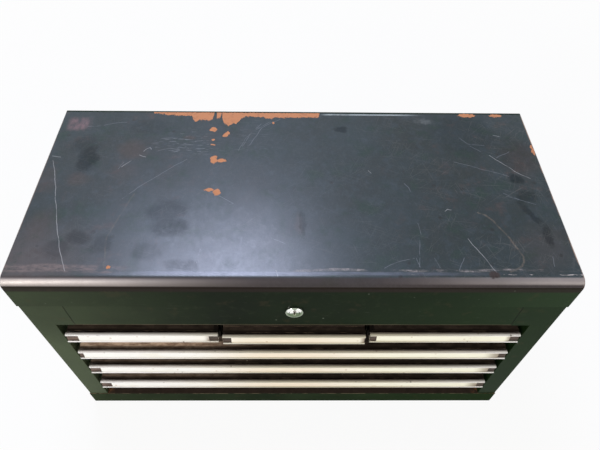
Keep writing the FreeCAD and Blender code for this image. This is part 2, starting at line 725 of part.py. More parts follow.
# Drawers: tray, front, pull and label of each
def make_drawers():
    for name, left, right, row, ajar, ends in DRAWERS:
        shift = f"-{ajar}" if ajar != "0" else "0"
        node(f"{name}_tray", tray(f"{name}_tray", left, right, row, shift))
        node(f"{name}_front", drawer_front(f"{name}_front", left, right, row, shift))
        node(f"{name}_pull", pull(f"{name}_pull", left, right, row, shift))
        label_left = f"{left} + {ends}_label_left"
        label_right = f"{right} - {ends}_label_right"
        node(f"{name}_label", label(f"{name}_label", label_left, label_right, row, shift))


# Lid: a pressed shell with a wide bend along its front and a hem around its lower edge
def make_lid_shell():
    outer = extruded("lid_outer", [
        ("lid_front", "lid_bottom"), ("back", "lid_bottom"), ("back", "lid_top"), ("lid_front", "lid_top"),
    ], ("-lid_side", "lid_side"))
    rounded(outer, "lid_outer_bend", lambda spot: near(spot.y, "lid_front") and near(spot.z, "lid_top"),
            "lid_bend")
    rounded(outer, "lid_outer_edges", lambda spot: (
        near(abs(spot.x), "lid_side") and not near(spot.z, "lid_bottom")
    ) or (near(spot.y, "back") and near(spot.z, "lid_top")), "lid_corner")
    inner_front = "lid_front + sheet"
    inner_top = "lid_top - sheet"
    inner_back = "back - sheet"
    hollow = extruded("lid_hollow", [
        (inner_front, "lid_bottom - overrun"), (inner_back, "lid_bottom - overrun"),
        (inner_back, inner_top), (inner_front, inner_top),
    ], ("-lid_side_inner", "lid_side_inner"))
    rounded(hollow, "lid_hollow_bend", lambda spot: near(spot.y, inner_front) and near(spot.z, inner_top),
            "lid_bend - sheet")
    hem_height = ("lid_bottom", "lid_bottom + sheet")
    hem_side = "lid_side_inner - lid_hem"
    hem_plate = block("lid_hem_plate", ("-lid_side_inner", "lid_side_inner"), (inner_front, inner_back),
                      hem_height)
    hem_opening = block("lid_hem_opening", (f"-({hem_side})", hem_side),
                        (f"{inner_front} + lid_hem", f"{inner_back} - lid_hem"),
                        ("lid_bottom - overrun", "lid_bottom + sheet + overrun"))
    hem = cut("lid_hem_ring", hem_plate, [hem_opening])
    pivot_hole = stay_pin_hole("lid_pivot_hole", "stay_pivot_height", "lid_side_inner")
    holes = [pivot_hole, mirrored("lid_left_pivot_hole", pivot_hole)]
    for index, x in enumerate(leaf_rivet_places()):
        holes.append(rivet_hole(f"lid_rivet_hole_{index}", "y", (x, "hinge_height + leaf_rivet_rise"),
                                (inner_back, "back")))
    node("lid_shell", cut("lid_shell", fused("lid_folds", [cut("lid_skin", outer, [hollow]), hem]), holes))


def hinge_leaf(name, side, first):
    """One leaf: side is -1 below the hinge axis and 1 above, first is the index of its first knuckle."""
    along = ("-hinge_end", "hinge_end")
    axis = ("hinge_depth", "hinge_height")
    thick = ("back", "leaf_face")
    inner, outer = f"hinge_height + {side} * leaf_start", f"hinge_height + {side} * leaf_height"
    tongue_end = "hinge_height" if side < 0 else "lid_bottom"
    pieces = [block(f"{name}_plate", along, thick, (outer, inner) if side < 0 else (inner, outer))]
    for index in range(first, round(number("knuckle_count")), 2):
        start = f"hinge_end * (2 * {index} / knuckle_count - 1) + knuckle_gap / 2"
        span = (start, f"{start} + 2 * hinge_end / knuckle_count - knuckle_gap")
        tongue = (inner, tongue_end) if side < 0 else (tongue_end, inner)
        pieces.append(block(f"{name}_tongue_{index}", span, thick, tongue))
        pieces.append(rod(f"{name}_knuckle_{index}", "x", axis, span, "knuckle_radius"))
    bore = rod(f"{name}_bore", "x", axis, (f"{along[0]} - overrun", f"{along[1]} + overrun"),
               "hinge_pin_radius + hinge_pin_play")
    holes = [
        rivet_hole(f"{name}_rivet_hole_{index}", "y", (x, f"hinge_height + {side} * leaf_rivet_rise"), thick)
        for index, x in enumerate(leaf_rivet_places())
    ]
    return cut(name, fused(f"{name}_folds", pieces), [bore] + holes)


# Piano hinge: two leaves whose knuckles take turns along one pin
def make_hinge():
    node("hinge_lower_leaf", hinge_leaf("hinge_lower_leaf", -1, 0))
    node("hinge_upper_leaf", hinge_leaf("hinge_upper_leaf", 1, 1))
    node("hinge_pin", rod("hinge_pin", "x", ("hinge_depth", "hinge_height"),
                          ("-hinge_end", "hinge_end"), "hinge_pin_radius"))


def leaf_rivets(name, side):
    height = f"hinge_height + {side} * leaf_rivet_rise"
    return [
        rivet(f"{name}_{index}", "y", (x, height), ("back - sheet", "leaf_face"))
        for index, x in enumerate(leaf_rivet_places())
    ]


# Rivets of the hinge and of the handle brackets
def make_rivets():
    right = [
        rivet(f"bracket_rivet_{index}", "x", centre, ("side_inner", "bracket_face"))
        for index, centre in enumerate(bracket_rivet_places())
    ]
    left = [mirrored(f"left_{item.Name}", item) for item in right]
    lower = leaf_rivets("lower_leaf_rivet", -1)
    upper = leaf_rivets("upper_leaf_rivet", 1)
    node("case_rivets", grouped("case_rivets", lower + right + left), len(lower + right + left))
    node("hinge_upper_rivets", grouped("hinge_upper_rivets", upper), len(upper))


# Lock: body and nut on the rail; plug, cam and screw turn together
def make_lock():
    body = turned("lock_shape", [
        ("plug_radius + plug_play", "bezel_face"),
        ("bezel_radius", "bezel_face"),
        ("bezel_radius", "front"),
        ("barrel_radius", "front"),
        ("barrel_radius", "barrel_end"),
        ("plug_radius + plug_play", "barrel_end"),
    ])
    rounded(body, "lock_bezel_edge", lambda spot: near(spot.y, "bezel_face"), "bezel_round")
    place(body, z="lock_height")
    node("lock_body", body)

    nut = doc.addObject("Part::Prism", "nut_hexagon")
    nut.Polygon = 6
    nut.setExpression("Circumradius", bound("nut_width / 2 / cos(30 deg)"))
    nut.setExpression("Height", bound("nut_height"))
    nut.Placement.Rotation = FreeCAD.Rotation(FreeCAD.Vector(1, 0, 0), -90)
    place(nut, y="front + sheet", z="lock_height")
    bore = rod("nut_bore", "y", ("0", "lock_height"), ("front", "front + sheet + nut_height + overrun"),
               "barrel_radius + fit_gap")
    node("lock_nut", cut("lock_nut", nut, [bore]))

    plug = turned("plug_shape", [
        ("0", "bezel_face + plug_sink"),
        ("plug_radius", "bezel_face + plug_sink"),
        ("plug_radius", "barrel_end"),
        ("stub_radius", "barrel_end"),
        ("stub_radius", "cam_back"),
        ("0", "cam_back"),
    ])
    place(plug, z="lock_height")
    keyway = block("keyway", ("-keyway_width / 2", "keyway_width / 2"),
                   ("bezel_face - overrun", "bezel_face + plug_sink + keyway_depth"),
                   ("lock_height - keyway_height / 2", "lock_height + keyway_height / 2"))
    screw_hole = rod("plug_screw_hole", "y", ("0", "lock_height"),
                     ("cam_back - cam_screw_length", "cam_back + overrun"), "cam_screw_radius + fit_gap")
    node("lock_plug", cut("lock_plug", plug, [keyway, screw_hole]))

    thick = ("cam_front", "cam_back")
    tip = "lock_height + cam_length - cam_width / 2"
    cam = fused("cam_plate", [
        rod("cam_hub", "y", ("0", "lock_height"), thick, "cam_hub_radius"),
        block("cam_arm", ("-cam_width / 2", "cam_width / 2"), thick, ("lock_height", tip)),
        rod("cam_tip", "y", ("0", tip), thick, "cam_width / 2"),
    ])
    seat = rod("cam_seat", "y", ("0", "lock_height"), ("cam_front - overrun", "cam_back + overrun"),
               "stub_radius + fit_gap")
    node("lock_cam", cut("lock_cam", cam, [seat]))

    node("cam_screw", fused("cam_screw", [
        rod("cam_screw_shank", "y", ("0", "lock_height"), ("cam_back - cam_screw_length", "cam_back"),
            "cam_screw_radius"),
        rod("cam_screw_head", "y", ("0", "lock_height"), ("cam_back", "cam_back + cam_screw_head_height"),
            "cam_screw_head_radius"),
    ]))


# Strike: hangs from the lid's front, with a foot that the turned cam holds down
def make_lid_strike():
    inner_face = "lid_front + sheet"
    arm = ("strike_arm_place", "strike_arm_place + strike_sheet")
    plate_left = "strike_arm_place + strike_sheet / 2 - strike_plate_width / 2"
    node("lid_strike", fused("lid_strike", [
        block("strike_plate", (plate_left, f"{plate_left} + strike_plate_width"),
              (inner_face, f"{inner_face} + strike_sheet"),
              ("strike_arm_bottom", "strike_arm_bottom + strike_plate_height")),
        block("strike_arm", arm, (inner_face, "strike_back"), ("strike_arm_bottom", "strike_arm_top")),
        block("strike_drop", arm, ("strike_front", "strike_back"), ("strike_foot_bottom", "strike_arm_top")),
        block("strike_foot", ("strike_arm_place - strike_reach", "strike_arm_place + strike_sheet"),
              ("strike_front", "strike_back"), ("strike_foot_bottom", "strike_foot_top")),
    ]))


# Lid stays: slotted arms that hang from the lid and slide over guide pins on the side panels
def make_stays():
    thick = ("stay_inner", "stay_outer")
    wide = ("stay_inner - overrun", "stay_outer + overrun")
    half = "stay_width / 2"
    arm = fused("stay_plate", [
        rod("stay_top_end", "x", ("stay_depth", "stay_pivot_height"), thick, half),
        block("stay_bar", thick, (f"stay_depth - {half}", f"stay_depth + {half}"),
              ("stay_slot_bottom", "stay_pivot_height")),
        rod("stay_bottom_end", "x", ("stay_depth", "stay_slot_bottom"), thick, half),
    ])
    slot_half = "(stay_pin_radius + stay_slot_play)"
    node_pair("lid_stay", cut("right_lid_stay", arm, [
        rod("stay_pivot_hole", "x", ("stay_depth", "stay_pivot_height"), wide,
            "stay_pin_radius + stay_pivot_play"),
        rod("stay_slot_top_end", "x", ("stay_depth", "stay_slot_top"), wide, slot_half),
        block("stay_slot", wide, (f"stay_depth - {slot_half}", f"stay_depth + {slot_half}"),
              ("stay_slot_bottom", "stay_slot_top")),
        rod("stay_slot_bottom_end", "x", ("stay_depth", "stay_slot_bottom"), wide, slot_half),
    ]))
    guide = stay_pin("guide_pin", "stay_guide_height", "side_inner")
    pivot = stay_pin("pivot_pin", "stay_pivot_height", "lid_side_inner")
    node("stay_guide_pins", grouped("stay_guide_pins", [guide, mirrored("left_guide_pin", guide)]), 2)
    node("stay_pivot_pins", grouped("stay_pivot_pins", [pivot, mirrored("left_pivot_pin", pivot)]), 2)


def bend(name, y, z, radius, start, end):
    """A quarter turn of the bail rod from one direction to another, both seen from its centre."""
    item = doc.addObject("Part::Torus", name)
    item.setExpression("Radius1", bound(radius))
    item.setExpression("Radius2", bound("bail_radius"))
    item.Angle3 = 90
    item.Placement.Rotation = FreeCAD.Rotation(start, end, start.cross(end), "XYZ")
    place(item, "bail_axis", y, z)
    return item


def upright_rod(name, y, low, high):
    item = doc.addObject("Part::Cylinder", name)
    item.setExpression("Radius", bound("bail_radius"))
    item.setExpression("Height", bound(f"({high}) - ({low})"))
    place(item, "bail_axis", y, low)
    return item


# Side handles: a riveted bracket with two ears, and a bail of bent rod that swings in them
def make_handles():
    half_length = "bracket_length / 2"
    pieces = [block("bracket_plate", ("side_outer", "bracket_face"), (f"-{half_length}", half_length),
                    ("handle_height - bracket_height / 2", "handle_height + bracket_height / 2"))]
    for name, y in (("front", "-ear_place - ear_sheet"), ("rear", "ear_place")):
        pieces.append(block(f"{name}_ear", ("bracket_face", "bracket_face + ear_reach"),
                            (y, f"{y} + ear_sheet"),
                            ("handle_height - ear_height / 2", "handle_height + ear_height / 2")))
    ear_end = "(ear_place + ear_sheet + overrun)"
    holes = [rod("ear_bore", "y", ("bail_axis", "handle_height"), (f"-{ear_end}", ear_end),
                 "bail_radius + bail_play")]
    for index, centre in enumerate(bracket_rivet_places()):
        holes.append(rivet_hole(f"bracket_rivet_hole_{index}", "x", centre, ("side_outer", "bracket_face")))
    node_pair("handle_bracket", cut("right_handle_bracket", fused("bracket_folds", pieces), holes))

    forward, backward = FreeCAD.Vector(0, -1, 0), FreeCAD.Vector(0, 1, 0)
    upward, downward = FreeCAD.Vector(0, 0, 1), FreeCAD.Vector(0, 0, -1)
    arm = ("bail_grip_height + bail_bend", "handle_height - bail_neck_bend")
    grip_half = "(bail_half_width - bail_bend)"
    grip_centre = ("bail_axis", "bail_grip_height")
    stub_centre = ("bail_axis", "handle_height")
    node_pair("handle_bail", fused("right_handle_bail", [
        rod("bail_grip", "y", grip_centre, (f"-{grip_half}", grip_half), "bail_radius"),
        bend("bail_rear_bend", grip_half, arm[0], "bail_bend", backward, downward),
        bend("bail_front_bend", f"-{grip_half}", arm[0], "bail_bend", downward, forward),
        upright_rod("bail_rear_arm", "bail_half_width", *arm),
        upright_rod("bail_front_arm", "-bail_half_width", *arm),
        bend("bail_rear_neck", "bail_neck", arm[1], "bail_neck_bend", forward, upward),
        bend("bail_front_neck", "-bail_neck", arm[1], "bail_neck_bend", upward, backward),
        rod("bail_rear_stub", "y", stub_centre, ("bail_neck", "bail_neck + bail_stub"), "bail_radius"),
        rod("bail_front_stub", "y", stub_centre, ("-bail_neck - bail_stub", "-bail_neck"), "bail_radius"),
    ]))


def check_document():
    """Stop if any object failed, or if a sub-part isn't the sound solids that it should be."""
    for item in doc.Objects:
        if "Invalid" in item.State or "Error" in item.State:
            raise RuntimeError(f"{item.Label} failed: {item.State}")
    for name, (item, solids) in NODES.items():
        if item.Shape.isNull() or not item.Shape.isValid():
            raise RuntimeError(f"{name} has no valid shape")
        if len(item.Shape.Solids) != solids:
            raise RuntimeError(f"{name} has {len(item.Shape.Solids)} solids, not {solids}")


def write_parts():
    os.makedirs("parts", exist_ok=True)
    for name, (item, solids) in NODES.items():
        item.Shape.exportStep(os.path.join("parts", f"{name}.step"))


make_side_panels()
make_back_panel()
make_bottom_pan()
make_front_top_rail()
make_till_floor()
make_dividers()
make_uprights()
make_runners()
make_drawers()
make_lid_shell()
make_hinge()
make_rivets()
make_lock()
make_lid_strike()
make_stays()
make_handles()
doc.recompute()
check_document()
write_parts()
print(f"{len(NODES)} sub-parts, {sum(solids for item, solids in NODES.values())} solids")
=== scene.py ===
import json
import math

import bmesh
import bpy
from mathutils import Matrix, Vector


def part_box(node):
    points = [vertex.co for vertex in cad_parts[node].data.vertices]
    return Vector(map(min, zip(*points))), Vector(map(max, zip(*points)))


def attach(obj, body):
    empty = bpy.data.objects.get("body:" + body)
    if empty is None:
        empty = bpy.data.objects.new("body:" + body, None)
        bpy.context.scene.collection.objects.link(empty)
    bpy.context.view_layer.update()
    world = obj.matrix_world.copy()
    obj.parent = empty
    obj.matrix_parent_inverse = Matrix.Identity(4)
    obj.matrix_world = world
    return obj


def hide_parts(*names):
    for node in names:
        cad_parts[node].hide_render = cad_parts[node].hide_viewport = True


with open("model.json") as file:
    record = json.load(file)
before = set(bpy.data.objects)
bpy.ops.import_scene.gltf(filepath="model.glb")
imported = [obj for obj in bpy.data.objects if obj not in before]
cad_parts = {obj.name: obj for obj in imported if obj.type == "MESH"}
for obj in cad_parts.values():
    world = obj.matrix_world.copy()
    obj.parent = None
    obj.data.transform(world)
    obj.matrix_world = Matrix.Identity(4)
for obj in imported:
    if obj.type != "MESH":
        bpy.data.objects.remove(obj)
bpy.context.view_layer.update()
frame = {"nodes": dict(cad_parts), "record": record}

MM = 0.001

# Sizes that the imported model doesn't give by a node's box
LID_BEND = 12 * MM
LID_CORNER = 1.5 * MM
LID_HEM = 6 * MM
SHEET = 1 * MM
GAP_PLACE = 101.5 * MM
GAP_FOOT = 198 * MM
RIVET_SHANK = 1.6 * MM
RIVET_HEAD = 1.2 * MM

lid_low, lid_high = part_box("lid_shell")
rail_low, rail_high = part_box("front_top_rail")
opening_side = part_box("second_drawer_front")[1].x
BODY_OF = {node: body for body, nodes in frame["record"]["behaviour"]["bodies"].items() for node in nodes}
DRAWERS = ["left_top_drawer", "middle_top_drawer", "right_top_drawer", "second_drawer", "third_drawer",
           "bottom_drawer"]


def tone(red, green, blue):
    """A colour written in values from 0 to 255, as a shader takes it."""
    def linear(value):
        share = value / 255
        return share / 12.92 if share <= 0.04045 else ((share + 0.055) / 1.055) ** 2.4
    return (linear(red), linear(green), linear(blue), 1)


class Wire:
    """A shader socket that takes part in arithmetic."""

    def __init__(self, finish, socket):
        self.finish = finish
        self.socket = socket

    def worked(self, operation, *values):
        return self.finish.node("ShaderNodeMath", {"operation": operation}, dict(enumerate(values)))

    def __add__(self, other):
        return self.worked("ADD", self, other)

    def __radd__(self, other):
        return self.worked("ADD", other, self)

    def __sub__(self, other):
        return self.worked("SUBTRACT", self, other)

    def __rsub__(self, other):
        return self.worked("SUBTRACT", other, self)

    def __mul__(self, other):
        return self.worked("MULTIPLY", self, other)

    def __rmul__(self, other):
        return self.worked("MULTIPLY", other, self)

    def __truediv__(self, other):
        return self.worked("DIVIDE", self, other)

    def __abs__(self):
        return self.worked("ABSOLUTE", self)

    def least(self, other):
        return self.worked("MINIMUM", self, other)

    def most(self, other):
        return self.worked("MAXIMUM", self, other)

    def rising(self, low, high):
        """0 below low and 1 above high, with a soft step between them."""
        return self.finish.node("ShaderNodeMapRange", {"interpolation_type": "SMOOTHSTEP"},
                                {"Value": self, "From Min": low, "From Max": high, "To Min": 0, "To Max": 1})

    def falling(self, low, high):
        """1 below low and 0 above high."""
        return self.finish.node("ShaderNodeMapRange", {"interpolation_type": "SMOOTHSTEP"},
                                {"Value": self, "From Min": low, "From Max": high, "To Min": 1, "To Max": 0})


class Shader:
    """The node tree of a material or world, built through one method."""

    def __init__(self, owner):
        owner.use_nodes = True
        self.owner = owner
        self.tree = owner.node_tree
        self.tree.nodes.clear()

    def node(self, kind, settings=(), inputs=(), output=None):
        """Any node: its settings are set first, then the values or links of its sockets."""
        item = self.tree.nodes.new(kind)
        for key, value in dict(settings).items():
            if key == "stops":
                stops = item.color_ramp.elements
                while len(stops) > 1:
                    stops.remove(stops[-1])
                stops[0].position, stops[0].color = value[0]
                for position, colour in value[1:]:
                    stops.new(position).color = colour
            else:
                setattr(item, key, value)
        for key, value in dict(inputs).items():
            if isinstance(key, int):
                socket = item.inputs[key]
            else:
                socket = next(found for found in item.inputs if found.name == key and found.enabled)
            if isinstance(value, Wire):
                self.tree.links.new(value.socket, socket)
            else:
                socket.default_value = value
        if output:
            return Wire(self, item.outputs[output])
        return Wire(self, next((found for found in item.outputs if found.enabled), None))

    def shown(self):
        """1 for what the camera, a mirror or glass sees, 0 for the light that falls on the chest."""
        return self.node("ShaderNodeLightPath", output="Is Camera Ray").most(
            self.node("ShaderNodeLightPath", output="Is Glossy Ray")).most(
            self.node("ShaderNodeLightPath", output="Is Transmission Ray"))


class Finish(Shader):
    """A material in the making. Its places are in metres, in the chest's own frame."""

    def __init__(self, name):
        super().__init__(bpy.data.materials.new(name))
        self.place = self.node("ShaderNodeTexCoord", output="Object")
        self.x, self.y, self.z = (self.split(self.place, axis) for axis in "XYZ")
        self.upward = self.split(self.node("ShaderNodeTexCoord", output="Normal"), "Z")

    def split(self, vector, axis):
        return self.node("ShaderNodeSeparateXYZ", {}, {"Vector": vector}, output=axis)

    def vector(self, operation, first, second):
        return self.node("ShaderNodeVectorMath", {"operation": operation}, {0: first, 1: second})

    def mixed(self, first, second, share, blend="MIX"):
        return self.node("ShaderNodeMix", {"data_type": "RGBA", "blend_type": blend},
                         {"Factor": share, "A": first, "B": second})

    def wobbled(self, place, size, reach, detail=3):
        """Places shifted to and fro by up to about the reach, in waves of about that size."""
        waves = self.node("ShaderNodeTexNoise", {}, {"Vector": self.place, "Scale": 1 / size, "Detail": detail},
                          output="Color")
        waves = self.vector("SUBTRACT", waves, (0.5, 0.5, 0.5))
        return self.vector("ADD", place, self.vector("MULTIPLY", waves, (2 * reach, 2 * reach, 0)))

    def noise(self, size, detail=4, rough=0.5, shift=0, stretch=(1, 1, 1), turn=0, place=None):
        """Clouds of about that size in metres, longer along the axes whose stretch is larger."""
        place = place or self.place
        if turn:
            place = self.node("ShaderNodeVectorRotate", {"rotation_type": "Z_AXIS"},
                              {"Vector": place, "Angle": math.radians(turn)})
        scale = tuple(1 / (size * share) for share in stretch)
        place = self.vector("MULTIPLY", place, scale)
        if shift:
            place = self.vector("ADD", place, (shift, shift * 1.7, shift * 2.3))
        return self.node("ShaderNodeTexNoise", {},
                         {"Vector": place, "Scale": 1, "Detail": detail, "Roughness": rough})

    def specks(self, size, share, shift=0):
        """Separate specks in a grid of about that size, in a share of its cells."""
        place = self.vector("MULTIPLY", self.place, (1 / size, 1 / size, 1 / size))
        place = self.vector("ADD", place, (shift, shift, shift))
        distance = self.node("ShaderNodeTexVoronoi", {}, {"Vector": place, "Scale": 1}, output="Distance")
        chosen = self.split(self.node("ShaderNodeTexVoronoi", {}, {"Vector": place, "Scale": 1}, output="Color"),
                            "X")
        return distance.falling(0.12, 0.32) * chosen.rising(1 - share, 1.02 - share)

    def lines(self, place, lines, width):
        """1 along lines on the top, each a row of places in millimetres, and 0 beside them."""
        nearest = None
        for line in lines:
            for start, end in zip(line, line[1:]):
                run = Vector((end[0] - start[0], end[1] - start[1], 0)) * MM
                away = self.vector("SUBTRACT", place, (start[0] * MM, start[1] * MM, 0))
                along = self.vector("DOT_PRODUCT", away, tuple(run / run.length_squared)).most(0).least(1)
                foot = self.node("ShaderNodeVectorMath", {"operation": "SCALE"}, {0: tuple(run), "Scale": along})
                distance = self.vector("DISTANCE", away, foot)
                nearest = distance if nearest is None else nearest.least(distance)
        return nearest.falling(0.2 * width * MM, 0.6 * width * MM)

    def patch(self, place, centre, size, edge=0.25):
        """1 inside an oval on the top, with a soft edge."""
        away = self.vector("SUBTRACT", place, (centre[0] * MM, centre[1] * MM, 0))
        away = self.vector("DIVIDE", away, (size[0] / 2 * MM, size[1] / 2 * MM, 1))
        return self.node("ShaderNodeVectorMath", {"operation": "LENGTH"}, {0: away}).falling(1 - edge, 1 + edge)

    def patches(self, place, rows, edge):
        """Ovals from a table of centre, size and strength."""
        found = None
        for centre, size, strength in rows:
            oval = self.patch(place, centre, size, edge) * strength
            found = oval if found is None else found.most(oval)
        return found

    def band(self, value, middle, half_width):
        """1 where the value is near the middle, 0 beyond the half width."""
        return abs(value - middle).falling(0.4 * half_width, half_width)

    def bend_wear(self):
        """1 on the rounded edges of a piece."""
        return self.node("ShaderNodeAttribute", {"attribute_name": "rounded_edge"}, output="Fac")

    def surface(self, colour, roughness, relief=None, depth=0, **constants):
        inputs = {"Base Color": colour, "Roughness": roughness}
        inputs.update({key.replace("_", " "): value for key, value in constants.items()})
        if relief is not None:
            inputs["Normal"] = self.node("ShaderNodeBump", {}, {"Height": relief, "Distance": depth})
        shader = self.node("ShaderNodeBsdfPrincipled", {}, inputs)
        self.node("ShaderNodeOutputMaterial", {}, {"Surface": shader})
        return self.owner


# Marks on the lid's top, in millimetres from the middle of the chest
BOLD_SCRATCHES = [
    ((-322, 44), (-309, 12), (-299, -24), (-286, -65), (-275, -98), (-259, -131)),
    ((-204, 61), (-201, 66), (-197, 69), (-194, 66)), ((-208, 54), (-200, 50)), ((-228, 33), (-217, 44)),
    ((-325, 52), (-313, 51)), ((265, 57), (294, 27), (309, 15)), ((207, -83), (222, -112), (231, -131)),
    ((97, 29), (101, 24)), ((188, -41), (192, -38), (196, -39)), ((279, 98), (287, 96)),
    ((-22, -128), (-19, -137)),
]
FAINT_SCRATCHES = [
    ((-291, 110), (-256, 117), (-237, 120)), ((-185, 63), (-168, 68), (-157, 65)), ((-158, 70), (-144, 67)),
    ((-217, -22), (-195, 2), (-145, 47)), ((-72, 73), (-60, 101), (-35, 122)), ((-77, 65), (-68, 89), (-47, 118)),
    ((-64, 73), (-46, 110), (-21, 129)), ((-108, -11), (-93, -19), (-77, -29), (-82, -31)),
    ((242, 76), (255, 65)), ((274, 53), (293, 64)), ((215, 45), (246, 32), (282, 19)), ((268, -10), (286, -22)),
    ((142, 6), (147, -1), (149, -9)), ((103, -126), (120, -117), (139, -111)), ((141, -110), (143, -125)),
    ((149, -85), (146, -110), (142, -124)), ((163, -112), (167, -125)), ((198, -111), (187, -130)),
    ((271, -15), (304, -30)), ((302, -109), (300, -123)), ((-232, 30), (-226, 42)), ((-110, -100), (-113, -120)),
    ((-26, -84), (-10, -92)), ((230, 92), (240, 80), (262, 78)), ((150, -60), (152, -76)),
]
TAN_SCRATCHES = [
    ((228, -42), (236, -46), (244, -56), (252, -72), (259, -88), (264, -100), (267, -109), (266, -116),
     (262, -122), (255, -126), (247, -129)),
    ((-203, -14), (-209, -32), (-215, -52), (-220, -70), (-222, -84), (-221, -102), (-217, -126)),
]
DARK_STREAKS = [((286, -28), (298, -44), (304, -62), (307, -92))]
# Centre, size and strength of places where the enamel has lost its gloss
DULL_PATCHES = [
    ((-276, 48), (26, 54), 0.55), ((-288, 74), (30, 34), 0.25), ((-157, -42), (48, 34), 0.34),
    ((-150, -68), (40, 30), 0.38), ((-129, -122), (40, 14), 0.3), ((-256, -84), (24, 24), 0.4),
    ((-278, -100), (34, 24), 0.3), ((-228, -94), (24, 26), 0.3), ((-170, -104), (44, 26), 0.2),
    ((289, 16), (20, 15), 0.55), ((296, -14), (26, 22), 0.35), ((66, 108), (18, 14), 0.5),
    ((236, 98), (84, 84), 0.22), ((300, 60), (50, 60), 0.2), ((10, -60), (7, 34), 0.3),
    ((-205, 110), (60, 30), 0.15),
]
BROWN_PATCHES = [
    ((-220, 64), (36, 32), 0.8), ((-278, 8), (30, 18), 0.7), ((-146, 88), (16, 9), 0.9),
    ((306, 52), (46, 60), 0.6), ((-305, -62), (30, 44), 0.6), ((-222, 26), (34, 30), 0.4),
    ((300, -96), (60, 60), 0.5), ((-318, 10), (20, 40), 0.5), ((6, -60), (8, 30), 0.5),
]
CHIPPED_SPOTS = [
    ((-114, 106), (10, 10), 1), ((-97, 95), (7, 9), 1), ((-93, 99), (5, 6), 1), ((-113, 85), (4, 4), 1),
    ((-112, 75), (7, 3), 1), ((-108, 47), (9, 16), 1), ((-98, 45), (13, 6), 1), ((-99, -11), (9, 11), 1),
    ((-109, -7), (12, 5), 1), ((-212, -125), (6, 3), 1), ((327, 68), (4, 20), 1), ((-30, 120), (4, 5), 1),
    ((250, 139), (24, 8), 1), ((292, 139), (17, 6), 1),
]
SCUFFED_PATCHES = [((-148, 78), (80, 44), 1), ((-60, 96), (46, 60), 0.35), ((-70, 66), (60, 10), 0.5)]
LIGHT_SMUDGE = ((184, 125), (25, 11))
BEND_BLOB = ((227, -134), (12, 9))
STAIN_PLACE = (-0.3045, 0.116)
# Turn in degrees, level of the noise from which they show, and shift of each set of hair scratches
HAIR_SETS = [(24, 0.66, 1), (-38, 0.67, 2), (71, 0.67, 4), (-66, 0.67, 6), (4, 0.67, 8)]
# Where the paint is off along the lid's back edge: place along it, how deep, in millimetres
BACK_CHIPS = [
    (-204, 0), (-203, 6), (-188, 7), (-186, 9), (-148, 11), (-145, 19), (-142, 23), (-136, 20), (-119, 20),
    (-117, 15), (-116, 0), (-113, 0), (-112, 16), (-107, 15), (-105, 0), (-104, 17), (-100, 27), (-94, 32),
    (-90, 30), (-87, 24), (-84, 29), (-80, 23), (-76, 15), (-71, 12), (-45, 13), (-33, 18), (-28, 14), (34, 13),
    (37, 0),
]
CHIP_DEPTH = 32
KEPT_EDGE = 3.6 * MM

WHITE = (1, 1, 1, 1)
BARE_PRIMER = tone(178, 122, 86)
WORN_PRIMER = tone(148, 104, 78)


